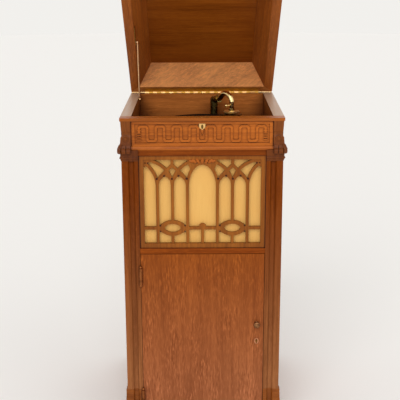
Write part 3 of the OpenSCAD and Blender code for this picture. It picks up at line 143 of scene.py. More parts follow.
def new_finish(name):
    """An empty material with its tree and its one shader."""
    material = bpy.data.materials.new(name)
    material.use_nodes = True
    return material, material.node_tree, material.node_tree.nodes["Principled BSDF"]


def blend_colours(tree, factor, first, second, mode="MIX"):
    """The output of a node that mixes two colours."""
    return add(tree, "Mix", {0: factor, 6: first, 7: second}, data_type="RGBA",
               blend_type=mode).outputs[2]


def number(tree, operation, first, second=0.0, clamp=False):
    """The output of a sum, product, or other operation on numbers."""
    return add(tree, "Math", {0: first, 1: second}, operation=operation,
               use_clamp=clamp).outputs[0]


def between(tree, value, low, high, to_low=0.0, to_high=1.0):
    """A value spread from one range to another and kept inside it."""
    return add(tree, "MapRange", {0: value, 1: low, 2: high, 3: to_low, 4: to_high},
               clamp=True).outputs[0]


def noise(tree, vector, scale, detail=3.0, roughness=0.55):
    """A cloudy pattern from 0 to 1."""
    return add(tree, "TexNoise", {"Vector": vector, "Scale": scale, "Detail": detail,
                                  "Roughness": roughness}).outputs[0]


def roughen(tree, shader, height, strength, distance):
    """Bumps a surface by a pattern, whose full height stands for a distance in metres."""
    bump = add(tree, "Bump", {"Height": height, "Strength": strength, "Distance": distance})
    tree.links.new(bump.outputs[0], shader.inputs["Normal"])


# %% [markdown]
# ## Oak
# The cabinet is fumed and varnished oak, sawn so that the rays show: long streaks run
# along the board, fine dark pores lie in them, and short pale flecks cross them. Oak could
# be painted on each face, but a solid pattern in the object's own coordinates runs through
# each board as real grain does. Its direction and its tone change from board to board.

# %% Figure of the oak
# From where to where the pattern of the rays counts, and what that does to the tone: the
# first row makes the pale rays, and the second the dark ones.
RAYS = ((0.56, 0.68, (1.5, 1.58, 1.8)), (0.44, 0.34, (0.6, 0.52, 0.46)))


def along(tree, board, length, width):
    """Coordinates whose features are that long and wide, in metres."""
    return add(tree, "Mapping", {"Vector": board, "Scale": (1 / length, 1 / width, 1 / width)}
               ).outputs[0]


def oak_figure(tree, board, tone, fleck, contrast):
    """The colour of new wood, and the patterns of its streaks and of its pores."""
    # Broad bands, fine streaks and large clouds.
    broad = noise(tree, along(tree, board, 0.55, 0.045), 1, 3)
    streak = noise(tree, along(tree, board, 0.16, 0.0065), 1, 4, 0.62)
    cloud = noise(tree, board, 5, 2)
    mixed = number(tree, "ADD", number(tree, "MULTIPLY", broad, 0.5),
                   number(tree, "MULTIPLY", streak, 0.5))
    shade = between(tree, mixed, 0.5 - 0.17 / contrast, 0.5 + 0.17 / contrast)
    colour = blend_colours(tree, shade, scaled(tone, 0.55, 0.48, 0.42),
                           scaled(tone, 1.34, 1.42, 1.5))
    colour = blend_colours(tree, between(tree, cloud, 0.35, 0.7, 0, 0.35), colour,
                           scaled(tone, 0.8, 0.68, 0.6))
    # The rays are short dashes that come and go in patches.
    if fleck:
        dashes = noise(tree, along(tree, board, 0.02, 0.0026), 1, 1.5, 0.4)
        patches = between(tree, noise(tree, along(tree, board, 0.16, 0.05), 1, 2),
                          0.4, 0.6, 0.35, 1)
        strength = number(tree, "MULTIPLY", patches, fleck)
        for low, high, gain in RAYS:
            ray = number(tree, "MULTIPLY", between(tree, dashes, low, high), strength)
            colour = blend_colours(tree, ray, colour, scaled(tone, *gain))
    # Pores are thin dark lines.
    pores = between(tree, noise(tree, along(tree, board, 0.022, 0.0012), 1, 2), 0.36, 0.26)
    colour = blend_colours(tree, number(tree, "MULTIPLY", pores, 0.5), colour,
                           scaled(tone, 0.32, 0.26, 0.22))
    return colour, streak, pores


# %% Oak recipe
# The pale colour that faces looking up are drawn towards: a painted sheen, the sky's reflection in
# their varnish.
SHEEN_PALE = paint(206, 176, 146)
GRAIN_TURN = {"X": (0, 0, 0), "Y": (0, 0, math.radians(-90)), "Z": (0, math.radians(90), 0)}


def oak(name, tone, grain="X", tilt=0.0, swing=0.0, fleck=0.5, corner_shade=0.0, reach=0.008,
        rough=0.36, shine=0.16, contrast=1.0, up_sheen=0.0, foot=None, facing=None):
    """A varnished oak finish whose grain runs along one axis of the cabinet.

    `corner_shade` darkens corners that are closer than `reach`: painted shade. `up_sheen` pales
    what faces
    up: a painted sheen. `foot` is (low, high, tint), with the full tint below the first height
    and none above the second. `facing` is (axis, none, full, tint), by the face's direction on
    that axis: painted light on the faces turned that way.
    """
    material, tree, shader = new_finish(name)
    place = add(tree, "TexCoord").outputs["Object"]
    board = place
    if tilt:
        board = add(tree, "Mapping", {"Vector": board, "Rotation": (tilt, swing, 0)}).outputs[0]
    board = add(tree, "Mapping", {"Vector": board, "Rotation": GRAIN_TURN[grain]}).outputs[0]
    colour, streak, pores = oak_figure(tree, board, tone, fleck, contrast)

    def tinted(factor, tint):
        """The colour so far, multiplied by a tint where the factor says so."""
        return blend_colours(tree, factor, colour,
                             blend_colours(tree, 1.0, colour, tint, "MULTIPLY"))

    # Painted shade in corners and hollows, a painted sheen on faces that look up, painted
    # light on faces turned one way, and tints by height.
    if corner_shade:
        hollow = add(tree, "AmbientOcclusion", {"Distance": reach}, samples=8).outputs["AO"]
        painted_shade = number(tree, "MULTIPLY", between(tree, hollow, 0.95, 0.35), corner_shade)
        colour = blend_colours(tree, painted_shade, colour, scaled(tone, 0.22, 0.17, 0.15))
    if up_sheen or facing:
        normal = add(tree, "SeparateXYZ", {0: add(tree, "TexCoord").outputs["Normal"]})
    # Painted sheen: faces that look up are paled, as by the sky's reflection in the varnish.
    if up_sheen:
        colour = blend_colours(tree, between(tree, normal.outputs[2], 0.7, 0.95, 0, up_sheen),
                               colour, SHEEN_PALE)
    # Painted light: the faces turned one way get a tint, as where light falls on them.
    if facing:
        axis, none, full, tint = facing
        colour = tinted(between(tree, normal.outputs[axis], none, full), tint)
    if foot:
        low, high, tint = foot
        above = add(tree, "SeparateXYZ", {0: place}).outputs[2]
        colour = tinted(between(tree, above, low, high, 1, 0), tint)
    tree.links.new(colour, shader.inputs["Base Color"])
    tree.links.new(between(tree, streak, 0.3, 0.7, rough - 0.05, rough + 0.09),
                   shader.inputs["Roughness"])
    # The pores are also pits between the raised streaks.
    relief = number(tree, "SUBTRACT", number(tree, "MULTIPLY", streak, 0.35), pores)
    roughen(tree, shader, relief, 0.22, 0.0004)
    shader.inputs["Specular IOR Level"].default_value = shine
    return material


# %% Oak finishes, one for each kind of board
# The darkening that these finishes give corners and hollows is painted shade.
finishes = {
    "rail": oak("oak_rail_front", paint(160, 86, 26), "X", fleck=0.3, corner_shade=0.5),
    "low_rail": oak("oak_rail_low", paint(126, 58, 10), "X", fleck=0.3, corner_shade=0.6, shine=0.07,
                    foot=(0.6, 0.7, (1.35, 1.4, 1.5, 1))),
    "frieze": oak("oak_frieze", paint(180, 96, 28), "X", fleck=0.3, corner_shade=1.0),
    "door": oak("oak_door", paint(148, 74, 16), "Z", fleck=0.75, contrast=0.8, corner_shade=0.6, shine=0.1,
                foot=(0.1, 0.6, (1.18, 1.6, 7.5, 1))),
    "post": oak("oak_post", paint(124, 58, 8), "Z", fleck=0.35, corner_shade=0.6, shine=0.07,
                foot=(0.1, 0.75, (1.65, 2.9, 17, 1))),
    "console": oak("oak_carved", paint(128, 68, 22), "Z", fleck=0.15, corner_shade=0.9, rough=0.4,
                   foot=(rim_z - 76 * MM, rim_z - 60 * MM, (0.76, 0.7, 0.64, 1))),
    "grille": oak("oak_tracery", paint(148, 84, 24), "Z", fleck=0.15, corner_shade=0.6),
    "panel": oak("oak_panel", paint(152, 78, 20), "Z", fleck=0.7, shine=0.07),
    # The sides' tops are paled by a painted sheen, and their corners darkened by painted shade.
    "side": oak("oak_side", paint(136, 70, 20), "Y", fleck=0.5, shine=0.22,
                up_sheen=0.66, corner_shade=1.0, reach=0.12),
    "side_rail": oak("oak_side_rail", paint(142, 72, 20), "Y", fleck=0.5, shine=0.07),
    # The back's inner face is made lighter by painted light, and its corners darker by painted
    # shade.
    "back": oak("oak_back", paint(140, 74, 26), "X", fleck=0.5, corner_shade=1.0, reach=0.06,
                facing=(1, 0.2, -0.5, (1.95, 2.35, 2.85, 1))),
    "plinth": oak("oak_plinth", paint(146, 80, 28), "X", fleck=0.3, corner_shade=0.5),
    "inner": oak("oak_inner", paint(120, 62, 26), "X", fleck=0.2),
    "board": oak("oak_motor_board", paint(104, 50, 18), "X", fleck=0.2),
    "lid_front": oak("oak_lid_front", paint(156, 88, 34), "X", tilt=lid_open, fleck=0.5),
    # The lid back's inner face is made lighter by painted light.
    "lid_back": oak("oak_lid_back", paint(156, 88, 34), "X", tilt=lid_open, swing=0.6, fleck=0.45,
                    facing=(1, -0.6, -0.85, (2.2, 2.85, 4.2, 1))),
    "lid_side": oak("oak_lid_side", paint(162, 88, 30), "Y", tilt=lid_open, fleck=0.5),
    "lid_top": oak("oak_lid_top", paint(150, 78, 18), "X", tilt=lid_open, fleck=0.3),
    "pale": oak("oak_rack", paint(178, 112, 56), "Z", fleck=0.2, rough=0.5),
}
print("oak finishes:", len(finishes))

# %% [markdown]
# ## Metal
# Brass on an old machine is bright where it is rubbed and brown where it is not. A metal's
# colour is its reflection, so the recipe is fully metallic. It mixes a clean colour with a
# tarnished one in clouds and specks, and lets the roughness follow.

# %% Metal recipe
def metal(name, clean, tarnish, rough=0.28, age=0.5, size=60):
    """Worn metal: a clean colour, a tarnished one, and how much of the second shows."""
    material, tree, shader = new_finish(name)
    place = add(tree, "TexCoord").outputs["Object"]
    clouds = noise(tree, place, size, 5, 0.65)
    specks = noise(tree, place, size * 14, 2)
    worn = between(tree, clouds, 0.62 - age * 0.3, 0.78 - age * 0.2)
    worn = number(tree, "ADD", worn, between(tree, specks, 0.66, 0.72, 0, 0.5), clamp=True)
    tree.links.new(blend_colours(tree, worn, clean, tarnish), shader.inputs["Base Color"])
    shader.inputs["Metallic"].default_value = 1.0
    tree.links.new(between(tree, worn, 0, 1, rough, rough + 0.25), shader.inputs["Roughness"])
    roughen(tree, shader, specks, 0.08, 0.0002)
    return material


# %% [markdown]
# A keyhole shows as a dark opening in its plate. That could be a second material on some
# faces, but it has no sharp edge, so one function lays a soft dark oval over the colour of
# a finished metal, at the keyhole's place on the cabinet: painted shade for the opening.

# %% Painted shade in a keyhole
def with_keyhole_shade(material, x, z, half_wide, half_high, painted_shade):
    """Darkens a plate in an oval with its middle at x, z: painted shade."""
    tree = material.node_tree
    shader = tree.nodes["Principled BSDF"]
    parts = add(tree, "SeparateXYZ", {0: add(tree, "TexCoord").outputs["Object"]})
    across = number(tree, "DIVIDE", number(tree, "SUBTRACT", parts.outputs[0], x), half_wide)
    upward = number(tree, "DIVIDE", number(tree, "SUBTRACT", parts.outputs[2], z), half_high)
    far = number(tree, "ADD", number(tree, "MULTIPLY", across, across),
                 number(tree, "MULTIPLY", upward, upward))
    clean = shader.inputs["Base Color"].links[0].from_socket
    tree.links.new(blend_colours(tree, between(tree, far, 1.5, 0.7), clean, painted_shade),
                   shader.inputs["Base Color"])
    return material


# %% Metal finishes
brass = metal("brass_worn", paint(214, 178, 104), paint(132, 98, 48), 0.26, 0.45)
hinge_brass = metal("brass_hinge", paint(196, 160, 82), paint(140, 106, 46), 0.34, 0.3, 14)
knuckle_brass = metal("brass_knuckle", paint(240, 204, 144), paint(196, 150, 88), 0.3, 0.25, 20)
gold_brass = metal("brass_bright", paint(240, 212, 150), paint(168, 130, 66), 0.14, 0.2, 30)
old_brass = metal("brass_dark", paint(168, 128, 66), paint(84, 58, 28), 0.34, 0.6)
shield_low, shield_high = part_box("box_escutcheon")
shield_hole_z = shield_high.z - 9 * MM
# The dark oval on the shield is painted shade for its keyhole's opening.
shield_brass = with_keyhole_shade(
    metal("brass_shield", paint(236, 190, 122), paint(160, 108, 56), 0.32, 0.35),
    0, shield_hole_z, 2.9 * MM, 6.4 * MM, paint(40, 22, 10))
rose_brass = metal("brass_rose", paint(244, 196, 146), paint(214, 152, 102), 0.36, 0.2)
copper = metal("copper_worn", paint(206, 128, 80), paint(120, 62, 34), 0.3, 0.4)
steel = metal("steel_ground", paint(176, 178, 180), paint(96, 94, 92), 0.32, 0.4)
olive_brass = metal("brass_olive", paint(124, 108, 62), paint(60, 48, 22), 0.2, 0.5, 40)
flange_brass = metal("brass_flange", paint(246, 224, 170), paint(196, 160, 96), 0.34, 0.2, 40)
knob_bronze = metal("bronze_knob", paint(150, 104, 68), paint(78, 44, 26), 0.24, 0.6, 60)
hinge_bronze = metal("bronze_hinge", paint(156, 94, 52), paint(96, 52, 24), 0.36, 0.5, 60)
key_low, key_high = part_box("door_escutcheon")
key_x = (key_low.x + key_high.x) / 2
key_hole_z = (key_low.z + key_high.z) / 2 + 0.5 * MM
# The dark oval on the door's plate is painted shade for its keyhole's opening.
plate_copper = with_keyhole_shade(
    metal("copper_plate", paint(198, 132, 92), paint(144, 84, 54), 0.34, 0.3),
    key_x, key_hole_z, 2.6 * MM, 5 * MM, paint(46, 16, 6))
dark_bronze = metal("bronze_dark", paint(120, 96, 52), paint(52, 38, 20), 0.18, 0.5, 40)
print("keyholes at heights", round(shield_hole_z, 4), "and", round(key_hole_z, 4))

# %% [markdown]
# The platter's enamel is not a metal to the eye: a dark coat over iron, with a soft gloss.

# %% Dark coat
def coat(name, tone, rough):
    """A plain dark coat with a little unevenness."""
    material, tree, shader = new_finish(name)
    place = add(tree, "TexCoord").outputs["Object"]
    grain = noise(tree, place, 900, 2)
    cloud = noise(tree, place, 18, 3)
    tree.links.new(blend_colours(tree, between(tree, cloud, 0.35, 0.7), tone,
                                 scaled(tone, 1.6, 1.55, 1.5)), shader.inputs["Base Color"])
    tree.links.new(between(tree, cloud, 0.3, 0.7, rough - 0.06, rough + 0.1),
                   shader.inputs["Roughness"])
    roughen(tree, shader, grain, 0.1, 0.0003)
    return material


enamel = coat("enamel_dark", paint(26, 20, 15), 0.34)
print("coat:", enamel.name)

# %% [markdown]
# ## Dressing the solid parts
# Each CAD node has one finish, as each is one board or one fitting. The grille's cloth and
# the turntable's felt are not in these lists, because later cells replace them.

# %% Give the CAD nodes their finishes
WOOD_OF = {
    "rail": "rim_rail",
    "low_rail": "front_rails",
    "frieze": "frieze",
    "door": "door_panel",
    "post": "post_front_left post_front_right post_back_left post_back_right",
    "console": "console_left console_right",
    "grille": "grille",
    "panel": "side_panel_left side_panel_right back_panel",
    "side": "box_side_left box_side_right",
    "side_rail": "side_rails",
    "back": "box_back",
    "plinth": "plinth bottom_board",
    "inner": "horn horn_floor board_cleats",
    "board": "motor_board",
    "lid_front": "lid_front",
    "lid_back": "lid_back",
    "lid_side": "lid_side_left lid_side_right",
    "lid_top": "lid_top",
    "pale": "record_dividers",
}
METAL_OF = (
    (brass, "crank_escutcheon lid_catch governor box_lock door_lock speed_lever"),
    (knuckle_brass, "lid_hinge_fixed"),
    (hinge_brass, "lid_hinge_moving stay_slide"),
    (rose_brass, "stay_rod"),
    (hinge_bronze, "door_hinge_fixed door_hinge_moving"),
    (old_brass, "arm_base stay_foot"),
    (knob_bronze, "door_knob"),
    (gold_brass, "arm_bend"),
    (flange_brass, "sound_box"),
    (dark_bronze, "needle_weight"),
    (plate_copper, "door_escutcheon"),
    (steel, "motor_frame spindle spring_barrel winding_arbor winding_shaft brake_lever"),
    (olive_brass, "arm_neck"),
    (shield_brass, "box_escutcheon"),
    (enamel, "turntable"),
)


def dress(name, material):
    """Puts one finish on every slot of a CAD node."""
    mesh = nodes[name].data
    mesh.materials.clear()
    mesh.materials.append(material)


finish_of = [(finishes[key], names) for key, names in WOOD_OF.items()] + list(METAL_OF)
for material, names in finish_of:
    for name in names.split():
        dress(name, material)
print("dressed", sum(len(names.split()) for _, names in finish_of), "of", len(nodes), "nodes")


# %% [markdown]
# ## Making and placing pieces
# Each new piece is a mesh of points and faces, smoothed where it is round, and tied to
# the body that it moves with. Three more functions give what many of the pieces are made
# of: a turned shape, a grid, and several shapes in one.

# %% Piece helpers
def piece(name, points, faces, material, body, slot, angle=35):
    """Makes a mesh object, smooths it up to an angle and lets it ride on a body."""
    mesh = bpy.data.meshes.new(name)
    mesh.from_pydata([tuple(p) for p in points], [], faces)
    mesh.materials.append(material)
    mesh.validate()
    made = bpy.data.objects.new(name, mesh)
    bpy.context.scene.collection.objects.link(made)
    mesh.shade_smooth()
    mesh.set_sharp_from_angle(angle=math.radians(angle))
    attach(made, body)
    return made


def lathe(profile, sides):
    """Points and faces of a profile of (radius, height) turned round the upright axis."""
    points, faces = [], []
    for radius, height in profile:
        for i in range(sides):
            turn = 2 * math.pi * i / sides
            points.append(Vector((radius * math.cos(turn), radius * math.sin(turn), height)))
    for row in range(len(profile) - 1):
        for i in range(sides):
            a, b = row * sides + i, row * sides + (i + 1) % sides
            faces.append((a, b, b + sides, a + sides))
    return points, faces


def grid_faces(rows, columns):
    """The faces between points that are listed row after row."""
    faces = []
    for row in range(rows):
        for column in range(columns):
            a = row * (columns + 1) + column
            faces.append((a, a + 1, a + columns + 2, a + columns + 1))
    return faces


def joined(shapes):
    """The points and faces of several shapes, as those of one."""
    all_points, all_faces = [], []
    for points, faces in shapes:
        start = len(all_points)
        all_points += points
        all_faces += [tuple(start + i for i in face) for face in faces]
    return all_points, all_faces


# %% [markdown]
# ## Cloth behind the grille
# A thin gold silk is stretched over a frame behind the tracery. It hides the horn and lets
# the sound out. A flat card would look dead, so the sheet is a fine grid that swells a
# little inside its edges and has faint waves in it. Its weave is two sets of threads.

# %% Cloth finish
def woven(name, tone, thread):
    """A plain weave: two sets of threads that pass over and under each other."""
    material, tree, shader = new_finish(name)
    place = add(tree, "TexCoord").outputs["Object"]
    waves = {"Vector": place, "Scale": 2 * math.pi / (20 * thread), "Distortion": 0.6,
             "Detail": 1.0}
    warp = add(tree, "TexWave", waves, bands_direction="X").outputs["Fac"]
    weft = add(tree, "TexWave", waves, bands_direction="Z").outputs["Fac"]
    threads = number(tree, "MULTIPLY", warp, weft)
    slub = noise(tree, add(tree, "Mapping", {"Vector": place, "Scale": (500, 1, 14)}
                           ).outputs[0], 1, 3)
    cloud = noise(tree, place, 9, 2)
    colour = blend_colours(tree, between(tree, threads, 0.0, 0.6),
                           scaled(tone, 0.78, 0.72, 0.62), tone)
    colour = blend_colours(tree, between(tree, slub, 0.4, 0.7, 0, 0.25), colour,
                           scaled(tone, 1.08, 1.15, 1.35))
    colour = blend_colours(tree, between(tree, cloud, 0.45, 0.7, 0, 0.3), colour,
                           scaled(tone, 0.9, 0.78, 0.62))
    tree.links.new(colour, shader.inputs["Base Color"])
    shader.inputs["Roughness"].default_value = 0.62
    shader.inputs["Sheen Weight"].default_value = 0.25
    shader.inputs["Sheen Roughness"].default_value = 0.4
    roughen(tree, shader, threads, 0.35, 0.0004)
    return material


cloth_finish = woven("silk_gold", paint(248, 194, 104), 1.1 * MM)
print("cloth finish:", cloth_finish.name)

# %% Cloth sheet
cloth_low, cloth_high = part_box("grille_cloth")
cloth_wide = cloth_high.x - cloth_low.x
cloth_tall = cloth_high.z - cloth_low.z
COLUMNS, ROWS = 120, 90
# How many waves there are and how deep, how far the middle swells forward, and how far
# behind the front of its CAD node the sheet's edge lies.
WAVE_COUNT = 8
WAVE_DEPTH = 0.35 * MM
SWELL = 0.5 * MM
BEHIND = 1.2 * MM
random.seed(4)
draws = [random.uniform(-1, 1) for _ in range(40)]
# Sixteen of the draws are used: a size and a phase for each wave.
sizes, phases = draws[:WAVE_COUNT], draws[20:20 + WAVE_COUNT]
points = []
for row in range(ROWS + 1):
    for column in range(COLUMNS + 1):
        u, v = column / COLUMNS, row / ROWS
        edge = min(u, 1 - u, v, 1 - v)
        ripple = sum(sizes[k] * math.sin((k + 3) * math.pi * u * 2 + phases[k] * 3)
                     for k in range(WAVE_COUNT)) * 0.05
        depth = WAVE_DEPTH * ripple * math.exp(-abs(v - 0.5) * 1.5) - SWELL * min(1, edge * 8)
        points.append((cloth_low.x + u * cloth_wide, cloth_low.y + BEHIND + depth,
                       cloth_low.z + v * cloth_tall))
faces = grid_faces(ROWS, COLUMNS)
cloth = piece("grille_silk", points, faces, cloth_finish, "cabinet", "gold_cloth")
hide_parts("grille_cloth")
print("cloth", round(cloth_wide, 3), "by", round(cloth_tall, 3))


# %% [markdown]
# ## Felt on the turntable
# The felt is a disc glued to the platter. Its edge is soft and its nap shows as a fine
# unevenness, so it is a lathed sheet with many rings whose heights differ by a hair.

# %% Felt finish
def napped(name, tone):
    """Felt: matted fibres with a soft sheen."""
    material, tree, shader = new_finish(name)
    place = add(tree, "TexCoord").outputs["Object"]
    fibre = noise(tree, place, 900, 4, 0.7)
    cloud = noise(tree, place, 14, 4)
    colour = blend_colours(tree, between(tree, fibre, 0.35, 0.65), tone,
                           scaled(tone, 1.8, 1.7, 1.6))
    colour = blend_colours(tree, between(tree, cloud, 0.4, 0.7, 0, 0.4), colour,
                           scaled(tone, 2.2, 2.0, 1.8))
    tree.links.new(colour, shader.inputs["Base Color"])
    shader.inputs["Roughness"].default_value = 0.95
    shader.inputs["Specular IOR Level"].default_value = 0.05
    roughen(tree, shader, fibre, 0.6, 0.0006)
    return material


# %% Felt disc
FELT_SIDES = 160
FELT_RINGS = 44
NAP = 0.12 * MM
hole = 4.4 * MM
felt_low, felt_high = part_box("turntable_felt")
felt_middle = (felt_low + felt_high) / 2
felt_radius = (felt_high.x - felt_low.x) / 2
thick = felt_high.z - felt_low.z
# The rounded edge as (radius, height), and then the flat top in rings.
felt_edge = [(felt_radius - 0.1 * MM, 0.1 * MM), (felt_radius, 0.35 * thick),
             (felt_radius - 0.2 * MM, 0.7 * thick), (felt_radius - 0.9 * MM, 0.94 * thick)]
flat_radius = felt_radius - 2 * MM
felt_top = [(flat_radius - (flat_radius - hole) * i / FELT_RINGS, thick)
            for i in range(FELT_RINGS + 1)]
points, faces = lathe(felt_edge + felt_top, FELT_SIDES)
random.seed(11)
for index, point in enumerate(points):
    if index >= len(felt_edge) * FELT_SIDES:
        point.z -= random.uniform(0, NAP)
    point += Vector((felt_middle.x, felt_middle.y, felt_low.z))
felt = piece("platter_felt", points, faces, napped("felt_black", paint(22, 12, 7)),
             "turntable", "black_felt", angle=60)
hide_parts("turntable_felt")
print("felt radius", round(felt_radius, 4))

# %% [markdown]
# ## Screws
# Slotted brass screws hold the hinges and plates, and one shape at many places does for
# all. A head is a low dome of a few rows of points. The two rows at the slot's edges are
# doubled, and the inner ones lie lower: that step is the slot.

# %% Screw heads
SLOT = 0.2
SLOT_DEPTH = 0.2
HEAD_ROWS = (-1, -0.85, -0.55, -SLOT, -SLOT, SLOT, SLOT, 0.55, 0.85, 1)
SUNK_ROWS = (4, 5)
HEAD_COLUMNS = 8


def screw_head(radius, rise):
    """Points and faces of a slotted dome on the plane z = 0."""
    points = []
    for row, v in enumerate(HEAD_ROWS):
        half = math.sqrt(max(0.0004, 1 - v * v))
        for column in range(HEAD_COLUMNS + 1):
            u = half * (2 * column / HEAD_COLUMNS - 1)
            height = rise * (-SLOT_DEPTH if row in SUNK_ROWS else 1 - (u * u + v * v) ** 2)
            points.append(Vector((u * radius, v * radius, height)))
    return points, grid_faces(len(HEAD_ROWS) - 1, HEAD_COLUMNS)


def screws(name, places, head, material, body, slot):
    """One mesh of screw heads, each (radius, rise). A place is a centre and a facing."""
    points, faces = screw_head(*head)
    shapes = []
    for centre, facing in places:
        spin = Matrix.Rotation(random.uniform(0, math.pi), 3, "Z")
        stand = Vector(facing).to_track_quat("Z", "Y").to_matrix()
        shapes.append(([Vector(centre) + stand @ (spin @ point) for point in points], faces))
    return piece(name, *joined(shapes), material, body, slot, angle=50)


# %% Screws in the long hinge
LEAF_SCREW = (2.4 * MM, 0.2 * MM)
LEAF_INSET = 9 * MM
LID_GAP = 1 * MM
FIRST_SCREW, SCREW_PITCH = 22 * MM, 44 * MM


def on_lid(x, y, z):
    """A place on the closed lid, carried to where it is while the lid stands open."""
    return pivot + Matrix.Rotation(-lid_open, 3, "X") @ (Vector((x, y, z)) - pivot)


random.seed(21)
leaf_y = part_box("box_back")[1].y - LEAF_INSET
lid_down = on_lid(0, 0, -1) - on_lid(0, 0, 0)
hinge_xs = [FIRST_SCREW + SCREW_PITCH * k for k in range(4)]
hinge_xs = [-x for x in hinge_xs] + hinge_xs
screws("screws_hinge_box", [((x, leaf_y, rim_z), (0, 0, 1)) for x in hinge_xs],
       LEAF_SCREW, hinge_brass, "cabinet", "brass")
screws("screws_hinge_lid", [(on_lid(x, leaf_y, rim_z + LID_GAP), lid_down) for x in hinge_xs],
       LEAF_SCREW, hinge_brass, "lid", "brass")
print("screw heads on the hinge:", 2 * len(hinge_xs))

# %% Screws in the lock, the crank's plate and the arm's foot
LOCK_SCREW = (1.6 * MM, 0.2 * MM)
CRANK_SCREW = (1.6 * MM, 0.5 * MM)
BASE_SCREW = (2.6 * MM, 0.9 * MM)
# The circles that the screws stand on, the height of the foot's flange, and where the
# crank's screws are on their circle, in radians.
CRANK_CIRCLE = 13 * MM
BASE_CIRCLE = 23 * MM
BASE_FLANGE = 5.9 * MM
CRANK_TURNS = (0.52, 2.62, 4.71)
lock_low, lock_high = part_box("box_lock")
lock_y = (lock_low.y + lock_high.y) / 2
screws("screws_lock", [((x * MM, lock_y, rim_z), (0, 0, 1)) for x in (-20, 20)],
       LOCK_SCREW, brass, "cabinet", "brass")
crank_low, crank_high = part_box("crank_escutcheon")
crank = (crank_low + crank_high) / 2
screws("screws_crank", [((crank_high.x - 1.5 * MM, crank.y + CRANK_CIRCLE * math.cos(turn),
                          crank.z + CRANK_CIRCLE * math.sin(turn)), (1, 0, 0))
                        for turn in CRANK_TURNS],
       CRANK_SCREW, brass, "cabinet", "brass")
base_low, base_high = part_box("arm_base")
base = (base_low + base_high) / 2
screws("screws_arm_base", [((base.x + BASE_CIRCLE * math.cos(turn),
                             base.y + BASE_CIRCLE * math.sin(turn),
                             base_low.z + BASE_FLANGE), (0, 0, 1))
                           for turn in (math.radians(30 + 120 * k) for k in range(3))],
       BASE_SCREW, brass, "cabinet", "brass")
print("crank's plate at", [round(x, 3) for x in crank], "foot at", [round(x, 3) for x in base])

# %% Pins in the keyhole plates
PLATE_PIN = (0.9 * MM, 0.4 * MM)
screws("pins_shield", [((x * MM, shield_low.y, shield_high.z - 2.2 * MM), (0, -1, 0))
                       for x in (-7, 7)],
       PLATE_PIN, brass, "cabinet", "brass")
screws("pins_keyhole", [((key_x, key_low.y, z), (0, -1, 0))
                        for z in (key_low.z + 2 * MM, key_high.z - 2 * MM)],
       PLATE_PIN, copper, "door", "copper")
print("door's keyhole plate is", round((key_high.z - key_low.z) / MM, 1), "mm tall")

# %% Screws round the back panel
BACK_SCREW = (3.2 * MM, 0.8 * MM)
BACK_INSET = 12 * MM
BACK_ROWS = 5
panel_low, panel_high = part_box("back_panel")
span = panel_high.z - panel_low.z - 2 * BACK_INSET
heights = [panel_low.z + BACK_INSET + k * span / (BACK_ROWS - 1) for k in range(BACK_ROWS)]
back_places = [((x, panel_high.y, z), (0, 1, 0))
               for x in (panel_low.x + BACK_INSET, panel_high.x - BACK_INSET) for z in heights]
back_places += [((0, panel_high.y, z), (0, 1, 0))
                for z in (panel_low.z + BACK_INSET, panel_high.z - BACK_INSET)]
screws("screws_back", back_places, BACK_SCREW, steel, "cabinet", "steel")
print("screws round the back panel:", len(back_places))

# %% [markdown]
# ## Ends of the long hinge
# The hinge is a strip as long as the box is wide, but the leaves are let in only between
# the side walls. Past them just its barrel runs on, to the corners, and closes the
# line of light under the open lid. It is a turned bar with a groove at each joint.

# %% Barrel ends
BARREL_R = 2.6 * MM
KNUCKLE = 15 * MM
GROOVE = 0.5 * MM
CHAMFER = 0.4 * MM
leaf_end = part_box("lid_hinge_fixed")[1].x
barrel_end = half_width - 1.5 * MM
reached = leaf_end + 0.3 * MM
profile = [(0, reached)]
while reached < barrel_end - 1 * MM:
    stop = min(reached + KNUCKLE, barrel_end)
    profile += [(BARREL_R - GROOVE, reached), (BARREL_R, reached + CHAMFER),
                (BARREL_R, stop - CHAMFER), (BARREL_R - GROOVE, stop)]
    reached = stop
profile.append((0, barrel_end))
points, faces = lathe(profile, 24)
for side, word in ((1, "right"), (-1, "left")):
    placed = [Vector((side * point.z, pivot.y + point.x, pivot.z + side * point.y))
              for point in points]
    piece("hinge_barrel_" + word, placed, faces, knuckle_brass, "cabinet", "brass", angle=50)
print("barrel ends run", round(leaf_end, 3), "to", round(barrel_end, 3))

# %% [markdown]
# ## Needle
# A steel needle is clamped in the bar under the dished weight. It is turned to a point and
# stands a hair above the felt, where a disc's groove would be.

# %% Needle
# How far the needle stands beyond the sound box's middle, and its outline as (radius,
# height over the weight's lowest point), all in mm.
NEEDLE_AHEAD = 26
NEEDLE = ((0.02, -2.1), (0.3, -1.2), (0.6, -0.5), (0.6, 0.4))
box_low, box_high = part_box("sound_box")
weight_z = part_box("needle_weight")[0].z
arm_end = (box_low + box_high) / 2
reach = Vector((arm_end.x - base.x, arm_end.y - base.y, 0)).normalized()
tip = Vector((arm_end.x, arm_end.y, 0)) + reach * NEEDLE_AHEAD * MM
points, faces = lathe([(radius * MM, weight_z + height * MM) for radius, height in NEEDLE], 16)
points = [point + tip for point in points]
piece("needle", points, faces, steel, "needle_weight", "steel")
print("needle's point at", [round(x, 4) for x in points[0]])

# %% [markdown]
# ## Carved drop and crown
# A small carved drop hangs from the frieze under the lid's shield, and petals of the same
# kind stand in a fan over the middle arch of the grille. A carver cuts each with a few
# strokes of a gouge. One function makes the shape, a swelling body with a groove down its
# middle, and the petals are the drop turned over and leaned to the sides.

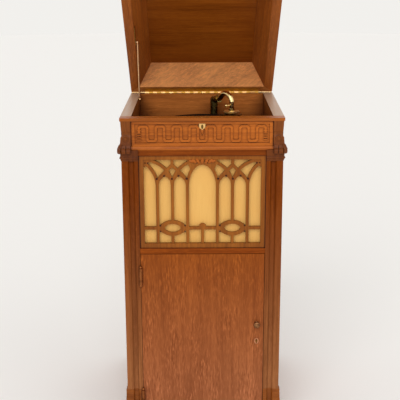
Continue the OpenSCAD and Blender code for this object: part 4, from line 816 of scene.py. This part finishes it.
# %% Carved drop
def pendant(width, height, rise):
    """Points and faces of a carved drop that faces -Y and hangs from the origin."""
    steps, across = 24, 10
    points = []
    for i in range(steps + 1):
        s = i / steps
        half = width / 2 * (math.sin(math.pi * s ** 0.8) ** 0.7) * (1 + 0.2 * math.sin(s * 19))
        for j in range(across + 1):
            v = 2 * j / across - 1
            relief = rise * math.sqrt(max(0, 1 - v * v)) * (0.3 + 0.7 * math.sin(math.pi * s))
            groove = 0.25 * rise * math.exp(-(v * 6) ** 2)
            points.append(Vector((v * half, groove - relief, -s * height)))
    # The rows run downward, so each face is turned over to look outward.
    return points, [(a, d, c, b) for a, b, c, d in grid_faces(steps, across)]


points, faces = pendant(6 * MM, 19 * MM, 2.6 * MM)
points = [point + Vector((0, shield_high.y + 2.5 * MM, shield_low.z + 1 * MM)) for point in points]
piece("frieze_drop", points, faces, finishes["console"], "cabinet", "carved_oak", angle=60)
print("drop hangs down to", round(min(point.z for point in points), 4))

# %% Crown of petals over the middle arch
# Each petal's lean in degrees, then its distance from the middle, length and width in mm.
CROWN = ((0, 0, 22, 9), (28, 9, 20, 9), (52, 17, 20, 9), (70, 26, 16, 8))
# How far a petal stands out and how far below the grille's top the middle one starts, in
# mm. The others start higher by their distance squared, divided by the last number.
CROWN_RELIEF = 2
CROWN_BELOW = 25
CROWN_CURVE = 130
grille_low, grille_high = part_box("grille")
petals = []
for lean, aside, length, width in CROWN:
    for side in ((1, -1) if lean else (1,)):
        points, faces = pendant(width * MM, length * MM, CROWN_RELIEF * MM)
        spin = Matrix.Rotation(math.radians(180 + side * lean), 3, "Y")
        foot = Vector((side * aside * MM, grille_low.y + 0.1 * MM,
                       grille_high.z - (CROWN_BELOW - aside * aside / CROWN_CURVE) * MM))
        petals.append(([spin @ point + foot for point in points], faces))
piece("grille_crown", *joined(petals), finishes["frieze"], "cabinet", "carved_oak", angle=60)
print("petals in the crown:", len(petals))

# %% [markdown]
# ## Webs and seam of the grille
# Below the crossings of the tracery a web of wood is left between the bars, so that the
# light under it is shorter than its arch. A dark line runs round the grille where it is
# let into the case: a strip of painted shade, for the shadow in that joint. Both are flat
# boards cut to an outline, so one function that gives an outline a thickness makes them all.

# %% Board of any outline
def slab(outline, near, far):
    """Points and faces of a board whose outline is in mm on the grille, with its depths."""
    count = len(outline)
    points = [Vector((x * MM, grille_low.y + depth * MM, grille_low.z + z * MM))
              for depth in (near, far) for x, z in outline]
    faces = [tuple(range(count)), tuple(range(2 * count - 1, count - 1, -1))]
    for i in range(count):
        j = (i + 1) % count
        faces.append((j, i, count + i, count + j))
    return points, faces


# %% Webs
# The outline of one web, in mm from the grille's middle and up from its foot. Half of the
# tracery is four spacings of 45 mm wide, and holds this web and its mirror image.
WEB = ((98, 213), (104, 221), (111, 225), (118, 221), (125, 213), (119, 231),
       (109, 241), (102, 231))
# Both depths are counted from the grille's front, in mm.
WEB_DEPTHS = (2.4, 9)
HALF_SPAN = 4 * 45
webs = []
for side in (1, -1):
    webs.append(slab([(side * x, z) for x, z in WEB[::side]], *WEB_DEPTHS))
    webs.append(slab([(side * (HALF_SPAN - x), z) for x, z in WEB[::-side]], *WEB_DEPTHS))
piece("grille_webs", *joined(webs), finishes["grille"], "cabinet", "carved_oak", angle=60)
print("webs in the tracery:", len(webs))

# %% Seam
# The widths of its strips and their depths from the grille's front, in mm.
SEAM_SIDE, SEAM_FOOT, SEAM_TOP = 2.2, 1.6, 1.8
SEAM_DEPTHS = (-0.15, 0.4)
half_wide = (grille_high.x - grille_low.x) / 2 / MM
tall = (grille_high.z - grille_low.z) / MM
strips = ((-half_wide, SEAM_SIDE - half_wide, 0, tall),
          (half_wide - SEAM_SIDE, half_wide, 0, tall),
          (-half_wide, half_wide, 0, SEAM_FOOT),
          (-half_wide, half_wide, tall - SEAM_TOP, tall))
# Each strip is painted shade, for the shadow in the joint round the grille.
seam = [slab(((left, low), (right, low), (right, high), (left, high)), *SEAM_DEPTHS)
        for left, right, low, high in strips]
# One near-black oak is the painted shade of the seam and of the drilled holes.
gap_shade = oak("oak_gap_shade", paint(62, 20, 8), "Z", fleck=0, corner_shade=0)
piece("grille_seam_shade", *joined(seam), gap_shade, "cabinet", "carved_oak", angle=30)
print("seam round", round(2 * half_wide, 1), "by", round(tall, 1), "mm")

# %% [markdown]
# ## Drilled holes of the tracery
# Small dark round spots show in the corners of the tracery, most likely drilled holes.
# Holes this small could be cut from the mesh, but a dark disc just behind the front reads
# the same at this distance and leaves the grille whole. The disc is painted shade, for the
# shade inside a hole.

# %% Drilled holes
# Each one's distance from the middle, height over the grille's foot and radius, in mm.
DOTS = ((136, 217, 3.2), (114, 226, 3), (91, 217, 3.2), (71, 226, 3), (47.5, 217.5, 3.2),
        (127, 71, 2.4), (127, 53, 2.4), (53, 71, 2.4), (53, 53, 2.4), (17, 266, 2.4),
        (8, 272, 1.8), (162, 265.5, 2.6))
# A disc's corners, its depth behind the grille's front in mm, and a circle of radius 1.
DOT_SIDES = 14
DOT_DEPTH = 1.7
circle = [(math.cos(2 * math.pi * i / DOT_SIDES), math.sin(2 * math.pi * i / DOT_SIDES))
       for i in range(DOT_SIDES)]
discs = [([Vector(((side * aside + radius * x) * MM, grille_low.y + DOT_DEPTH * MM,
                   grille_low.z + (high + radius * z) * MM)) for x, z in circle],
          [tuple(range(DOT_SIDES))])
         for aside, high, radius in DOTS for side in (1, -1)]
piece("grille_dots", *joined(discs), gap_shade, "cabinet", "carved_oak", angle=60)
print("drilled holes:", len(discs))

# %% [markdown]
# ## Carved leaves
# The corner brackets end in leaves that curl outward. The CAD part has their plain bodies.
# A carver would lobe and vein them, so a thin carved skin follows each body's curve: its
# width swells and shrinks in lobes, and its surface falls from a raised middle vein.

# %% Leaf skins on the brackets
# The curve of a leaf from its foot to its tip: outward and upward, in mm.
LEAF_PATH = ((1.2, -17.0), (2.6, -12.5), (4.6, -8.0), (7.0, -4.0), (9.0, -0.8), (10.2, 1.8),
             (9.6, 3.6), (7.4, 4.6), (5.2, 6.6), (3.4, 9.4), (2.2, 12.6))
# The lobes on each side, how far below the rim a leaf's middle is, and how far the leaves
# on the flat sides stand off them.
LEAF_LOBES = 4
LEAF_BELOW = 92 * MM
LEAF_PROUD = 0.8 * MM


def leaf_skin(width):
    """Points and faces of one leaf. It faces +X, and its middle is at the origin."""
    steps, across = 40, 12
    points = []
    for i in range(steps + 1):
        t = i / steps * (len(LEAF_PATH) - 1)
        k = min(int(t), len(LEAF_PATH) - 2)
        f = t - k
        out = LEAF_PATH[k][0] * (1 - f) + LEAF_PATH[k + 1][0] * f
        high = LEAF_PATH[k][1] * (1 - f) + LEAF_PATH[k + 1][1] * f
        s = i / steps
        lobe = abs(math.sin(s * LEAF_LOBES * math.pi))
        half = width / 2 * (0.5 + 0.5 * math.sin(math.pi * min(1, s * 1.25)) ** 0.5)
        half *= 0.74 + 0.26 * lobe
        for j in range(across + 1):
            v = 2 * j / across - 1
            vein = 0.7 * math.exp(-(v * 5) ** 2)
            fold = 0.45 * math.cos(v * 3 * math.pi) * lobe
            fall = -1.3 * v * v
            points.append(Vector(((out + vein + fold + fall - 0.6) * MM, v * half * MM,
                                  (high - 0.9 * abs(v)) * MM)))
    return points, grid_faces(steps, across)


# Where each leaf of the right bracket is, the way that it faces, and its width: one on the
# corner, two on the side and two on the front. The left bracket is its mirror image.
leaf_z = rim_z - LEAF_BELOW
leaf_places = [((corner_x, front_y, leaf_z), -45, 14)]
leaf_places += [((corner_x + LEAF_PROUD, front_y + y * MM, leaf_z), 0, 15) for y in (12, 34)]
leaf_places += [((corner_x - x * MM, front_y - LEAF_PROUD, leaf_z), -90, 14) for x in (8, 22)]
for side, word in ((1, "right"), (-1, "left")):
    leaves = []
    for centre, turn, width in leaf_places:
        points, faces = leaf_skin(width)
        spin = Matrix.Rotation(math.radians(turn), 3, "Z")
        placed = [Vector(centre) + spin @ point for point in points]
        leaves.append(([Vector((side * point.x, point.y, point.z)) for point in placed],
                       [face[::side] for face in faces]))
    points, faces = joined(leaves)
    piece("bracket_leaves_" + word, points, faces, finishes["console"], "cabinet",
          "carved_oak", angle=60)
    print("leaves on the", word, "reach", round(max(abs(point.x) for point in points), 4))

# %% [markdown]
# ## Floor and light
# The photograph has a pale, even ground. The floor is a wide disc, and the world behind it
# shows the same pale colour to the camera and to glossy surfaces, so that no horizon shows.
# A lower, plain level of the world lights the cabinet together with three broad suns: the
# key from the front and above, a weak fill from the right, and one from above and behind
# for the edges that face up.

# %% Floor
FLOOR_RADIUS = 14
FLOOR_SIDES = 64
FLOOR_COLOUR = (0.9, 0.889, 0.87, 1)
floor_points, floor_faces = [(0, 0, 0)], []
for i in range(FLOOR_SIDES):
    turn = 2 * math.pi * i / FLOOR_SIDES
    floor_points.append((FLOOR_RADIUS * math.cos(turn), FLOOR_RADIUS * math.sin(turn), 0))
    floor_faces.append((0, i + 1, (i + 1) % FLOOR_SIDES + 1))
floor_mesh = bpy.data.meshes.new("floor")
floor_mesh.from_pydata(floor_points, [], floor_faces)
floor_material, _, floor_shader = new_finish("floor_pale")
floor_shader.inputs["Base Color"].default_value = FLOOR_COLOUR
floor_shader.inputs["Roughness"].default_value = 0.9
floor_shader.inputs["Specular IOR Level"].default_value = 0.1
floor_mesh.materials.append(floor_material)
floor = bpy.data.objects.new("floor", floor_mesh)
bpy.context.scene.collection.objects.link(floor)
print("floor", 2 * FLOOR_RADIUS, "m across")

# %% World
WORLD_LIGHT = (1.0, 0.98, 0.95, 1)
WORLD_STRENGTH = 0.58
WORLD_SHOWN = (0.888, 0.873, 0.842, 1)
world = bpy.data.worlds.new("studio")
bpy.context.scene.world = world
world.use_nodes = True
world_tree = world.node_tree
background = world_tree.nodes["Background"]
background.inputs["Color"].default_value = WORLD_LIGHT
background.inputs["Strength"].default_value = WORLD_STRENGTH
shown = add(world_tree, "Background", {"Color": WORLD_SHOWN, "Strength": 1.0})
path = add(world_tree, "LightPath")
seen = number(world_tree, "MAXIMUM", path.outputs["Is Camera Ray"],
              number(world_tree, "MAXIMUM", path.outputs["Is Glossy Ray"],
                     path.outputs["Is Transmission Ray"]))
mixed_world = add(world_tree, "MixShader", {0: seen, 1: background.outputs[0],
                                            2: shown.outputs[0]})
world_tree.links.new(mixed_world.outputs[0], world_tree.nodes["World Output"].inputs[0])
print("world lights at", WORLD_STRENGTH, "and shows", WORLD_SHOWN[:3])


# %% Sun lamps
# Each lamp's name, the direction that it shines from, its strength and its width in degrees.
SUNS = (
    ("key", (-0.2, -1.0, 0.72), 1.22, 50),
    ("fill", (0.9, -0.6, 0.6), 0.3, 60),
    ("back", (0.1, 0.9, 1.0), 0.6, 70),
)
for name, direction, strength, spread in SUNS:
    sun_data = bpy.data.lights.new(name, "SUN")
    sun_data.energy = strength
    sun_data.angle = math.radians(spread)
    sun = bpy.data.objects.new(name, sun_data)
    sun.rotation_euler = Vector(direction).to_track_quat("Z", "Y").to_euler()
    bpy.context.scene.collection.objects.link(sun)
print("suns:", len(SUNS))
